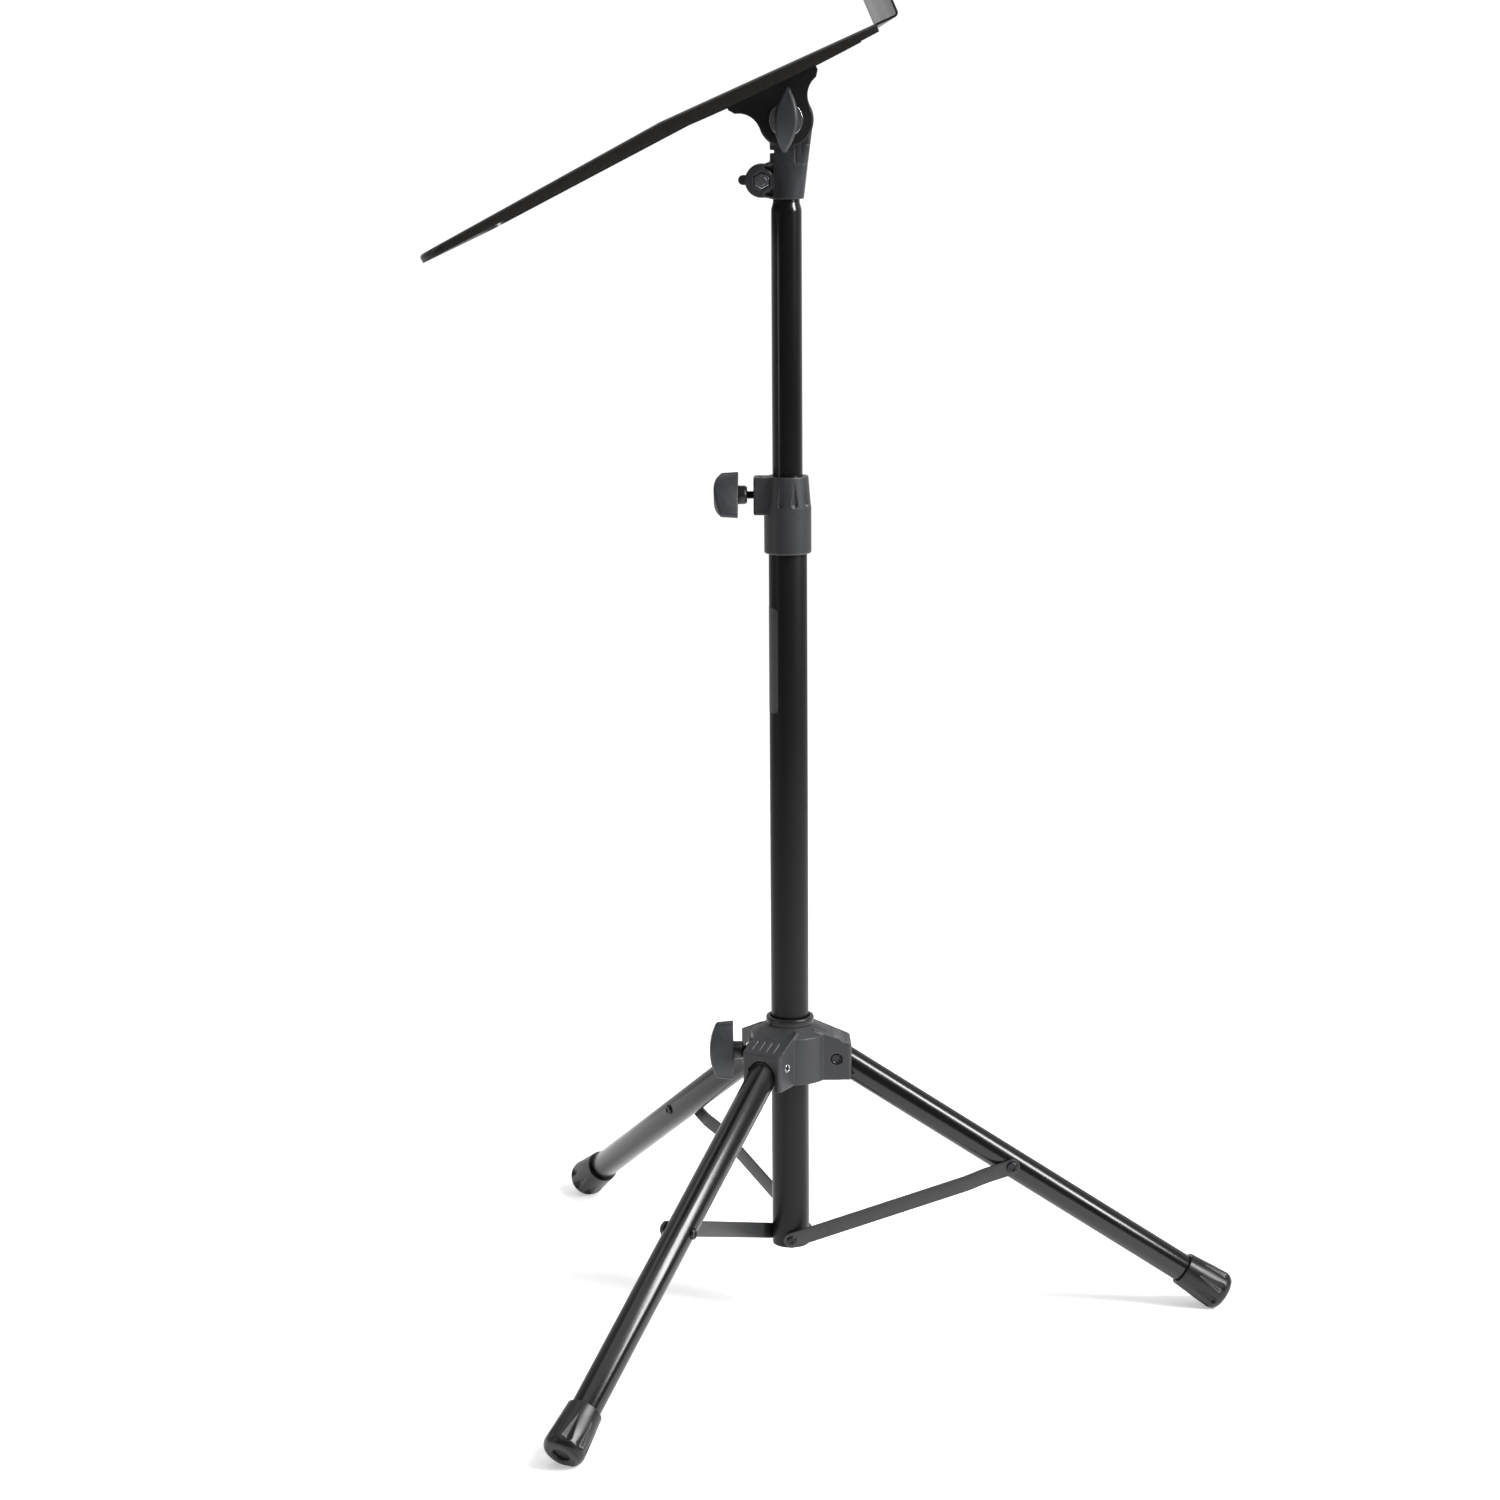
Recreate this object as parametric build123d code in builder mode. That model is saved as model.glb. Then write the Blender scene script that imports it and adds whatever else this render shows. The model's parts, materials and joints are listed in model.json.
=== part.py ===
from build123d import *
import os
from math import atan2, cos, hypot, radians, sin, tan

# Folding music stand: a tripod on a sliding hub, a two-stage column and a tilting desk.
# Units are mm and degrees. +Z is up, the feet stand on z = 0, and the origin is in the middle
# of the stand's box. +X is the side that the desk's ledge is on, and the desk tilts about Y.
os.makedirs("parts", exist_ok=True)

# ---------------------------------------------------------------- driving dimensions
column_x = -49.43  # column axis, from the middle of the stand's box
column_y = 4.85

# lower tube of the column
lower_r = 14.0
lower_wall = 1.5
lower_bottom_z = 55.4
lower_top_z = 620.4
end_cap_t = 1.5
end_cap_wall = 2.2
end_cap_top_z = 72.4

# upper tube, necked down at the top into the spigot that carries the head
upper_r = 11.0
upper_wall = 1.2
upper_bottom_z = 337.4
neck_start_z = 829.4
neck_end_z = 836.4
neck_bulge_r = 10.65
neck_bulge_z = 833.3
spigot_r = 9.6
spigot_top_z = 859.4
guide_r = 12.44
guide_h = 25.0
guide_floor = 2.0

# legs, three at 120 degrees; the first stands a little off the X axis
leg_names = ["right", "rear", "front"]
leg_turn = 1.75
leg_slope = 33.3
leg_r = 10.8
leg_wall = 1.2
pin_r = 3.0
pin_from_column = 34.0
pin_z = 204.1
leg_tube_start = 8.0
leg_tube_end = 346.0
plug_depth = 20.0
plug_wall = 2.4

# rubber feet
foot_start = 317.2
foot_length = 37.6
foot_mouth_r = 13.0
foot_max_r = 15.2
foot_shoulder_l = 31.2  # from the mouth, where the end starts to round over
foot_end_r = 10.8
foot_dish_r = 8.0
foot_dish_depth = 2.0
foot_clear = 900.0  # wide enough to trim every foot flat at the floor
foot_flutes = 8
flute_r = 2.6
flute_l = 20.0
flute_end = 30.0
flute_lean = 4.0

# braces, one flat strip for each leg
brace_t = 2.0
brace_w = 11.5
brace_pivot_z = 61.9
brace_on_leg = 159.0
brace_gap = 0.35
joggle_length = 22.0
joggle_from_end = 18.0
rivet_r = 2.4
rivet_head_r = 4.5
rivet_head_t = 1.7
rivet_taper = 25.0
pivot_rivet_r = 2.0
pivot_head_r = 3.7
pivot_head_t = 1.3
pivot_tail_r = 3.1
pivot_tail_start = 8.6
pivot_tail_t = 1.0
rivet_dish_r = 2.0
rivet_dish_from = 0.6
rivet_tail_r = 3.8
rivet_set_back = 0.4
rivet_side_play = 0.15
running_gap = 0.06

# sliding hub
hub_bottom_z = 187.9
hub_body_r = 29.0
hub_web_z = 223.0
hub_ring_z = 229.2
hub_top_z = 235.0
hub_ring_r = 17.9
hub_bore_r = 15.6
bush_bottom_z = 191.9
bush_mouth_r = 15.4
bush_mouth_z = 232.0
bush_edge = 1.4
housing_half = 16.0
housing_end = 45.6
housing_top_start = 17.0
housing_top_in = 227.6
housing_top_out = 215.1
pocket_gap = 0.4
housing_recess_r = 4.4
housing_recess_t = 2.0
housing_edge = 2.5
pocket_length = 30.0
pin_flange_r = 3.9
pin_flange_t = 1.4
pin_dish_r = 4.0
pin_dish_t = 0.6
pin_bore_r = 2.3
pin_bore_depth = 8.0
groove_count = 4
groove_pitch = 6.0
groove_w = 2.0
groove_l = 12.0
groove_depth = 1.0
groove_middle = 36.5
hub_knob_z = 207.6
hub_boss_r = 9.5
hub_boss_end = 31.0
hub_nut_t = 6.0
hub_nut_cover = 2.0
hub_nut_flats = 13.0
hub_ferrule_start = 35.2
hub_grip_start = 42.6

# clamp knobs: a tee grip, a ferrule and a screw
tee_length = 46.0
tee_width = 16.4
tee_end_width = 5.0
tee_thickness = 17.8
tee_end_thickness = 13.4
tee_draft = 1.0
ferrule_r = 6.8
m8_r = 4.0
m6_r = 3.0
pad_t = 2.0
pad_gap = 0.3
collar_pad_r = 4.4
tip_gap = 0.1
grip_bite = 9.0
screw_hole_gap = 0.4

# clamp collar between the two tubes
collar_r = 17.25
collar_top_r = 15.2
collar_bottom_z = 583.9
collar_taper_z = 617.4
collar_top_z = 640.2
collar_seat_z = 620.4
collar_boss_end = 24.8
collar_boss_half = 9.0
collar_boss_length = 12.8
collar_boss_edge = 1.5
collar_boss_below_top = 0.5
collar_boss_bottom_z = 612.4
collar_knob_z = 626.4
collar_knob_turn = 53.0
collar_nut_t = 5.0
collar_nut_cover = 4.0
collar_nut_flats = 10.0
collar_ferrule_start = 29.4
collar_grip_start = 36.0
collar_flutes = 7
collar_flute_pitch = 36.0
collar_flute_r = 3.0
collar_flute_l = 17.0
collar_flute_from_axis = 18.45
collar_flute_z = 620.9
collar_flute_lean = 9.8
flute_tip_r = 0.2
collar_edge = 1.2
collar_slot_r = 1.6
collar_slot_x = -19.6
collar_slot_depth = 8.0

# blank label on the lower tube
label_bottom_z = 466.4
label_top_z = 544.4
label_half_angle = 57.0
label_t = 0.15
label_corner_r = 4.0

# head on the spigot: a split clamp below, a round tongue above
head_bottom_z = 838.4
clamp_top_z = 862.0
clamp_r = 12.3
tilt_z = 893.9
tongue_r = 19.7
tongue_half = 11.0
head_waist_z = 876.4
clamp_ear_x = 17.5
clamp_ear_z = 851.3
clamp_ear_r = 11.9
clamp_ear_half = 9.5
nut_recess_flats = 11.6
nut_recess_t = 3.0
clamp_line_w = 0.8
clamp_line_depth = 1.0
clamp_line_start = 1.9
clamp_line_z = 862.9
clamp_line_corner = 7.5
clamp_split = 2.2
split_start_x = 8.0
split_length = 26.0
ear_pocket_depth = 3.0
ear_pocket_end = 16.0
ear_pocket_start = 9.3
ear_web_half = 4.6
ear_pocket_half_end = 10.2
ear_pocket_half_start = 11.0
ear_boss_r = 8.8
ear_crest_x = 15.5
ear_crest = 11.7
ear_root_x = 8.0
ear_root_rise = 4.0
clamp_shift = 0.3
waist_shift = 2.8
waist_r = 14.4
waist_half = 10.9
waist_corner_r = 4.0
tongue_side_x = 18.9
tongue_side_z = 889.4
tongue_shoulder_z = 884.0
clamp_nut_t = 2.8
clamp_nut_flats = 10.0
clamp_screw_tail = 0.6
clamp_screw_length = 27.1
head_groove_r = 0.9
head_groove_x = (6.8, 10.8)
head_groove_l = 14.0
head_window_x = -11.5
head_window_z = 871.6
head_window_l = 6.0
head_window_h = 2.4
wing_half = 17.0
wing_t = 7.0
wing_h = 9.0
wing_edge = 1.4
wing_gap = 0.4
wing_boss_r = 6.0
wing_boss_t = 3.0
wing_boss_taper = 8.0

# desk, in its own axes: u runs up the desk to the ledge, v stands square to its face
desk_slope = 23.7
desk_half_width = 250.0
desk_sheet = 1.5
desk_face_v = 33.5
desk_ledge_u = 92.6
desk_bend_u = -72.7
desk_bend = 4.4
desk_upper_length = 178.9
desk_corner_r = 22.0
rim_start_u = 77.0
rim_depth_ledge = 5.5
rim_depth_middle = 8.8
rim_depth_top = 5.5
ledge_depth = 45.0
lip_length = 8.0

# bracket under the desk
bracket_t = 2.5
bracket_half_length = 34.6
bracket_inner = 11.9
bracket_corner_v = 22.5
bracket_shoulder_u = 31.4
bracket_shoulder_v = 18.3
bracket_hollow_u = 23.6
bracket_hollow_v = 13.6
bracket_flare = 0.6
bracket_flare_v = 3.5
lobe_r = 19.0
washer_t = 0.8
washer_r = 15.6
desk_screw_u = 28.0
desk_screw_y = 6.5
screw_r = 2.0
screw_head_r = 3.8
screw_head_t = 2.0
countersink_t = 1.2
bolt_head_t = 5.0
bolt_head_flats = 13.0
bolt_length = 44.8
knob_washer_r = 12.0
knob_washer_t = 1.6
tilt_ferrule_length = 6.3
tilt_knob_lean = 3.0

# ---------------------------------------------------------------- planes and helpers
ground = Plane(origin=(column_x, column_y, 0))
column_axis = Axis((column_x, column_y, 0), (0, 0, 1))
front_view = Plane(origin=(column_x, column_y, 0), x_dir=(1, 0, 0), z_dir=(0, -1, 0))
tilt_point = (column_x, column_y, tilt_z)
tilt_view = Plane(origin=tilt_point, x_dir=(1, 0, 0), z_dir=(0, -1, 0))
desk_view = Plane(
    origin=tilt_point,
    x_dir=(cos(radians(desk_slope)), 0, sin(radians(desk_slope))),
    z_dir=(0, -1, 0),
)
desk_plan = Plane(origin=tilt_point, x_dir=desk_view.x_dir, z_dir=desk_view.y_dir)
leg_azimuths = {name: leg_turn + 120 * i for i, name in enumerate(leg_names)}


def leg_view(azimuth):
    """Upright plane through a leg: x runs out from the column, y up, z towards the brace."""
    turn = radians(azimuth)
    out = (cos(turn), sin(turn), 0)
    return Plane(origin=ground.origin, x_dir=out, z_dir=(sin(turn), -cos(turn), 0))


def leg_line(azimuth):
    """Plane on a leg's axis: x runs down the leg from its pin, z towards the brace."""
    view = leg_view(azimuth)
    slope = radians(leg_slope)
    down_the_leg = view.x_dir * cos(slope) - view.y_dir * sin(slope)
    pin_centre = view.from_local_coords((pin_from_column, pin_z, 0))
    return Plane(origin=pin_centre, x_dir=down_the_leg, z_dir=view.z_dir)


top_slope = atan2(housing_top_in - housing_top_out, housing_end - housing_top_start)
brace_rise = pin_z - brace_on_leg * sin(radians(leg_slope)) - brace_pivot_z
brace_reach = pin_from_column + brace_on_leg * cos(radians(leg_slope))
brace_length = hypot(brace_reach, brace_rise)
brace_slope = atan2(brace_rise, brace_reach)


def brace_line(azimuth):
    """Plane on a brace's line: x runs from the column pivot to the leg, z outward from the leg's side."""
    view = leg_view(azimuth)
    along = view.x_dir * cos(brace_slope) + view.y_dir * sin(brace_slope)
    return Plane(origin=view.from_local_coords((0, brace_pivot_z, 0)), x_dir=along, z_dir=view.z_dir)


def knob_plane(height, azimuth, turn):
    """Plane square to a clamp screw, on the column axis; x runs along the tee of its knob."""
    out = Vector(cos(radians(azimuth)), sin(radians(azimuth)), 0)
    tee = Vector(0, 0, 1).rotate(Axis((0, 0, 0), out), turn)
    return Plane(origin=(column_x, column_y, height), x_dir=tee, z_dir=out)


def save(builder, name):
    builder.part.label = name
    export_step(builder.part, f"parts/{name}.step")


# ---------------------------------------------------------------- shared cutters, fasteners and knobs
def flute_cutter(radius, length):
    """Teardrop along +Z that cuts a flute: a ball at the origin drawn out to a blunt tip."""
    with BuildPart() as cutter:
        with BuildSketch(Plane.XZ):
            with BuildLine():
                CenterArc((0, 0), radius, -90, 90)
                Polyline((radius, 0), (flute_tip_r, length), (0, length), (0, -radius))
            make_face()
        revolve(axis=Axis.Z)
    return cutter


def tee_grip(plane, start, bore_r):
    """Moulded tee grip: a lens in plan, flat inside and bowed outside, with a blind screw bore."""
    half = tee_length / 2
    shoulder = half - tee_draft
    end = tee_end_width / 2
    with BuildPart() as grip:
        with BuildSketch(plane.offset(start)):
            with BuildLine():
                ThreePointArc((-half + end, end), (0, tee_width / 2), (half - end, end))
                ThreePointArc((half - end, end), (half, 0), (half - end, -end))
                ThreePointArc((half - end, -end), (0, -tee_width / 2), (-half + end, -end))
                ThreePointArc((-half + end, -end), (-half, 0), (-half + end, end))
            make_face()
        extrude(amount=tee_thickness)
        side = Plane(origin=plane.offset(start).origin, x_dir=plane.x_dir, z_dir=-plane.y_dir)
        with BuildSketch(side):
            with BuildLine():
                low_corner = (shoulder, tee_end_thickness)
                high_corner = (-shoulder, tee_end_thickness)
                Polyline(high_corner, (-half, 0), (half, 0), low_corner)
                ThreePointArc(low_corner, (0, tee_thickness), high_corner)
            make_face()
        extrude(amount=tee_width, both=True, mode=Mode.INTERSECT)
        with BuildSketch(plane.offset(start)):
            Circle(bore_r)
        extrude(amount=tee_end_thickness, mode=Mode.SUBTRACT)
    return grip


def ferrule(plane, start, end, bore_r):
    """Round collar between a grip and its thread, with a narrower shoulder at the grip."""
    with BuildPart() as collar:
        with BuildSketch(plane.offset(start)):
            Circle(ferrule_r)
        extrude(amount=end - start)
        chamfer(collar.faces().sort_by(Axis(plane.origin, plane.z_dir))[0].edges(), 0.8)
        with BuildSketch(plane.offset(start)):
            Circle(bore_r)
        extrude(amount=end - start, mode=Mode.SUBTRACT)
    return collar


def screw(plane, tip, end, radius):
    """Clamp screw from its pressed tip to its end inside the grip."""
    with BuildPart() as shank:
        with BuildSketch(plane.offset(tip)):
            Circle(radius)
        extrude(amount=end - tip)
        chamfer(shank.faces().sort_by(Axis(plane.origin, plane.z_dir))[0].edges(), 0.7)
    return shank


def hex_nut(plane, start, thickness, across_flats, bore_r):
    """Hexagon nut with a running bore for the clamp screw."""
    with BuildPart() as nut:
        with BuildSketch(plane.offset(start)):
            RegularPolygon(across_flats / 2, 6, major_radius=False)
            Circle(bore_r, mode=Mode.SUBTRACT)
        extrude(amount=thickness)
    return nut


def pressure_pad(plane, start, radius):
    """Nylon disc that a clamp screw pushes against the tube."""
    with BuildPart() as pad:
        with BuildSketch(plane.offset(start)):
            Circle(radius)
        extrude(amount=pad_t)
    return pad


# ---------------------------------------------------------------- column: lower tube and its fittings
with BuildPart() as lower_tube:
    with BuildSketch(ground.offset(lower_bottom_z + end_cap_t)):
        Circle(lower_r)
        Circle(lower_r - lower_wall, mode=Mode.SUBTRACT)
    extrude(amount=lower_top_z - lower_bottom_z - end_cap_t)
    for azimuth in leg_azimuths.values():
        with BuildSketch(leg_view(azimuth)):
            with Locations((0, brace_pivot_z)):
                Circle(pivot_rivet_r)
        extrude(amount=lower_r + 1, mode=Mode.SUBTRACT)
save(lower_tube, "lower_tube")

with BuildPart() as lower_tube_end_cap:
    with BuildSketch(ground.offset(lower_bottom_z)):
        Circle(lower_r - 0.2)
    extrude(amount=end_cap_t)
    with BuildSketch(ground.offset(lower_bottom_z)):
        Circle(lower_r - lower_wall)
    extrude(amount=end_cap_top_z - lower_bottom_z)
    with BuildSketch(ground.offset(lower_bottom_z + 2 * end_cap_t)):
        Circle(lower_r - lower_wall - end_cap_wall)
    extrude(amount=end_cap_top_z, mode=Mode.SUBTRACT)
    for azimuth in leg_azimuths.values():
        with BuildSketch(leg_view(azimuth)):
            with Locations((0, brace_pivot_z)):
                Circle(pivot_rivet_r)
        extrude(amount=lower_r, mode=Mode.SUBTRACT)
save(lower_tube_end_cap, "lower_tube_end_cap")

brace_inner = lower_r + brace_gap
with BuildPart() as brace_pivot_rivets:
    for azimuth in leg_azimuths.values():
        view = leg_view(azimuth)
        head_start = brace_inner + brace_t + rivet_side_play
        with BuildSketch(view.offset(pivot_tail_start)):
            with Locations((0, brace_pivot_z)):
                Circle(pivot_tail_r)
        extrude(amount=pivot_tail_t)
        with BuildSketch(view.offset(pivot_tail_start)):
            with Locations((0, brace_pivot_z)):
                Circle(pivot_rivet_r)
        extrude(amount=head_start - pivot_tail_start)
        with BuildSketch(view.offset(head_start)):
            with Locations((0, brace_pivot_z)):
                Circle(pivot_head_r)
        extrude(amount=pivot_head_t, taper=rivet_taper)
        with BuildSketch(view.offset(brace_inner + brace_t)):
            with Locations((0, brace_pivot_z)):
                Circle(pivot_rivet_r / 2)
        extrude(amount=pivot_head_t + 1, mode=Mode.SUBTRACT)
save(brace_pivot_rivets, "brace_pivot_rivets")

with BuildPart() as lower_tube_label:
    with BuildSketch(ground.offset(label_bottom_z)):
        Circle(lower_r + label_t)
        Circle(lower_r, mode=Mode.SUBTRACT)
    extrude(amount=label_top_z - label_bottom_z)
    label_half_width = (lower_r + label_t) * sin(radians(label_half_angle))
    with BuildSketch(Plane(origin=(column_x, column_y, 0), x_dir=(0, -1, 0), z_dir=(-1, 0, 0))):
        with Locations((0, (label_bottom_z + label_top_z) / 2)):
            RectangleRounded(2 * label_half_width, label_top_z - label_bottom_z, label_corner_r)
    extrude(amount=lower_r + 1, mode=Mode.INTERSECT)
save(lower_tube_label, "lower_tube_label")

# ---------------------------------------------------------------- clamp collar on the lower tube
collar_knob = knob_plane(collar_knob_z, 180, collar_knob_turn)
collar_nut_start = collar_boss_end - collar_nut_cover - collar_nut_t
collar_pad_start = upper_r + pad_gap

collar_flute = flute_cutter(collar_flute_r, collar_flute_l)

with BuildPart() as clamp_collar:
    with BuildSketch(front_view):
        with BuildLine():
            Polyline(
                (lower_r, collar_bottom_z),
                (collar_r, collar_bottom_z),
                (collar_r, collar_taper_z),
                (collar_top_r, collar_top_z),
                (upper_r + running_gap, collar_top_z),
                (upper_r + running_gap, collar_seat_z),
                (lower_r, collar_seat_z),
                close=True,
            )
        make_face()
    revolve(axis=column_axis)
    lower_edges = clamp_collar.edges().filter_by(GeomType.CIRCLE).group_by(Axis.Z)[0]
    fillet(lower_edges.sort_by(SortBy.RADIUS)[-1], collar_edge)
    for i in range(collar_flutes):
        spoke = ground.rotated((0, 0, collar_flute_pitch * (i - (collar_flutes - 1) / 2)))
        lean = radians(collar_flute_lean)
        wall = Plane(
            origin=spoke.from_local_coords((collar_flute_from_axis, 0, collar_flute_z)),
            z_dir=spoke.z_dir * cos(lean) - spoke.x_dir * sin(lean),
        )
        with Locations(wall):
            add(collar_flute.part, mode=Mode.SUBTRACT)
    with BuildSketch(ground.offset(collar_boss_bottom_z)):
        with Locations((-collar_boss_end, 0)):
            Rectangle(collar_boss_length, 2 * collar_boss_half, align=(Align.MIN, Align.CENTER))
    extrude(amount=collar_top_z - collar_boss_below_top - collar_boss_bottom_z)
    boss_edges = clamp_collar.edges().filter_by(lambda e: e.center().X < column_x - collar_boss_end + 0.1)
    fillet(boss_edges, collar_boss_edge)
    with BuildSketch(ground.offset(collar_top_z)):
        with Locations((collar_slot_x, 0)):
            Circle(collar_slot_r)
    extrude(amount=-collar_slot_depth, mode=Mode.SUBTRACT)
    with BuildSketch(collar_knob):
        Circle(m6_r + screw_hole_gap)
    extrude(amount=collar_boss_end + 1, mode=Mode.SUBTRACT)
    with BuildSketch(collar_knob):
        Circle(collar_pad_r + 0.2)
    extrude(amount=collar_nut_start, mode=Mode.SUBTRACT)
    with BuildSketch(collar_knob.offset(collar_nut_start)):
        RegularPolygon(collar_nut_flats / 2, 6, major_radius=False)
    extrude(amount=collar_nut_t, mode=Mode.SUBTRACT)
    with BuildSketch(ground.offset(collar_bottom_z)):
        Circle(upper_r + running_gap)
    extrude(amount=collar_top_z - collar_bottom_z + 1, mode=Mode.SUBTRACT)
    with BuildSketch(ground.offset(collar_bottom_z)):
        Circle(lower_r)
    extrude(amount=collar_seat_z - collar_bottom_z, mode=Mode.SUBTRACT)
save(clamp_collar, "clamp_collar")

collar_nut = hex_nut(collar_knob, collar_nut_start, collar_nut_t, collar_nut_flats, m6_r + running_gap)
save(collar_nut, "collar_nut")
collar_pad = pressure_pad(collar_knob, collar_pad_start, collar_pad_r)
save(collar_pad, "collar_pressure_pad")
collar_knob_grip = tee_grip(collar_knob, collar_grip_start, m6_r)
save(collar_knob_grip, "collar_knob_grip")
collar_knob_ferrule = ferrule(collar_knob, collar_ferrule_start, collar_grip_start, m6_r)
save(collar_knob_ferrule, "collar_knob_ferrule")
collar_screw_tip = collar_pad_start + pad_t + tip_gap
collar_knob_screw = screw(collar_knob, collar_screw_tip, collar_grip_start + grip_bite, m6_r)
save(collar_knob_screw, "collar_knob_screw")

# ---------------------------------------------------------------- upper tube
with BuildPart() as upper_tube:
    with BuildSketch(front_view):
        with BuildLine():
            Polyline(
                (upper_r, neck_start_z),
                (upper_r, upper_bottom_z),
                (upper_r - upper_wall, upper_bottom_z),
                (upper_r - upper_wall, neck_start_z),
                (spigot_r - upper_wall, neck_end_z),
                (spigot_r - upper_wall, spigot_top_z),
                (spigot_r, spigot_top_z),
                (spigot_r, neck_end_z),
            )
            ThreePointArc((spigot_r, neck_end_z), (neck_bulge_r, neck_bulge_z), (upper_r, neck_start_z))
        make_face()
    revolve(axis=column_axis)
save(upper_tube, "upper_tube")

with BuildPart() as upper_tube_guide:
    with BuildSketch(ground.offset(upper_bottom_z - guide_floor)):
        Circle(guide_r)
    extrude(amount=guide_h)
    with BuildSketch(ground.offset(upper_bottom_z)):
        Circle(upper_r)
    extrude(amount=guide_h, mode=Mode.SUBTRACT)
    with BuildSketch(ground.offset(upper_bottom_z - guide_floor)):
        Circle(upper_r - 2 * upper_wall)
    extrude(amount=guide_floor, mode=Mode.SUBTRACT)
save(upper_tube_guide, "upper_tube_guide")

# ---------------------------------------------------------------- sliding hub
hub_knob = knob_plane(hub_knob_z, leg_turn + 180, 0)
hub_nut_start = hub_boss_end - hub_nut_cover - hub_nut_t
hub_pad_start = lower_r + pad_gap

pocket_end = housing_end + 1

with BuildPart() as hub_body:
    with BuildSketch(front_view):
        with BuildLine():
            Polyline(
                (hub_bore_r, hub_bottom_z),
                (hub_body_r, hub_bottom_z),
                (hub_body_r, hub_web_z),
                (hub_ring_r, hub_ring_z),
                (hub_bore_r, hub_ring_z),
                close=True,
            )
        make_face()
    revolve(axis=column_axis)
    for azimuth in leg_azimuths.values():
        with BuildSketch(leg_view(azimuth)):
            with BuildLine():
                Polyline(
                    (housing_top_start, hub_bottom_z),
                    (housing_end, hub_bottom_z),
                    (housing_end, housing_top_out),
                    (housing_top_start, housing_top_in),
                    close=True,
                )
            make_face()
        extrude(amount=housing_half, both=True)
    outer_corners = hub_body.edges().filter_by(
        lambda e: hypot(e.center().X - column_x, e.center().Y - column_y) > housing_end - 0.5
    )
    fillet(outer_corners.filter_by(Axis.Z), housing_edge)
    with BuildSketch(hub_knob):
        Circle(hub_boss_r)
    extrude(amount=hub_boss_end)
    with BuildSketch(ground.offset(hub_bottom_z)):
        Circle(hub_bore_r)
    extrude(amount=hub_top_z - hub_bottom_z, mode=Mode.SUBTRACT)
    for azimuth in leg_azimuths.values():
        view = leg_view(azimuth)
        line = leg_line(azimuth)
        clear_r = leg_r + pocket_gap
        with BuildSketch(line):
            Circle(clear_r)
        extrude(amount=clear_r, both=True, mode=Mode.SUBTRACT)
        with BuildSketch(Plane(origin=line.origin, z_dir=line.x_dir)):
            Circle(clear_r)
        extrude(amount=pocket_length, mode=Mode.SUBTRACT)
        with BuildSketch(view):
            with BuildLine():
                Polyline(
                    (pin_from_column - clear_r, pin_z),
                    (pin_from_column, pin_z),
                    (pocket_end, pin_z - (pocket_end - pin_from_column) * tan(radians(leg_slope))),
                    (pocket_end, hub_bottom_z - 5),
                    (pin_from_column - clear_r, hub_bottom_z - 5),
                    close=True,
                )
            make_face()
        extrude(amount=clear_r, both=True, mode=Mode.SUBTRACT)
        with BuildSketch(view):
            with Locations((pin_from_column, pin_z)):
                Circle(pin_r)
        extrude(amount=housing_half + 1, both=True, mode=Mode.SUBTRACT)
        with BuildSketch(view.offset(housing_half - housing_recess_t)):
            with Locations((pin_from_column, pin_z)):
                Circle(housing_recess_r)
        extrude(amount=housing_recess_t + 1, mode=Mode.SUBTRACT)
        middle_z = housing_top_in - (groove_middle - housing_top_start) * tan(top_slope)
        middle = view.from_local_coords((groove_middle, middle_z, 0))
        top_face = Plane(
            origin=middle,
            x_dir=view.x_dir * cos(top_slope) - view.y_dir * sin(top_slope),
            z_dir=view.x_dir * sin(top_slope) + view.y_dir * cos(top_slope),
        )
        with BuildSketch(top_face):
            with GridLocations(1, groove_pitch, 1, groove_count):
                SlotOverall(groove_l, groove_w)
        extrude(amount=-groove_depth, mode=Mode.SUBTRACT)
    with BuildSketch(hub_knob):
        Circle(m8_r + screw_hole_gap)
    extrude(amount=hub_boss_end + 1, mode=Mode.SUBTRACT)
    with BuildSketch(hub_knob.offset(hub_nut_start)):
        RegularPolygon(hub_nut_flats / 2, 6, major_radius=False)
    extrude(amount=hub_nut_t, mode=Mode.SUBTRACT)
save(hub_body, "hub_body")

with BuildPart() as hub_guide_bush:
    with BuildSketch(front_view):
        with BuildLine():
            Polyline(
                (lower_r + running_gap, bush_bottom_z),
                (hub_bore_r, bush_bottom_z),
                (hub_bore_r, hub_ring_z),
                (hub_ring_r, hub_ring_z),
                (hub_ring_r, hub_top_z),
                (bush_mouth_r, hub_top_z),
                (lower_r + running_gap, bush_mouth_z),
                close=True,
            )
        make_face()
    revolve(axis=column_axis)
    rim = hub_guide_bush.edges().filter_by(GeomType.CIRCLE).filter_by(lambda e: e.radius > hub_ring_r - 0.1)
    fillet(rim, bush_edge)
    with BuildSketch(hub_knob):
        Circle(m8_r + screw_hole_gap)
    extrude(amount=hub_ring_r, mode=Mode.SUBTRACT)
save(hub_guide_bush, "hub_guide_bush")

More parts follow.
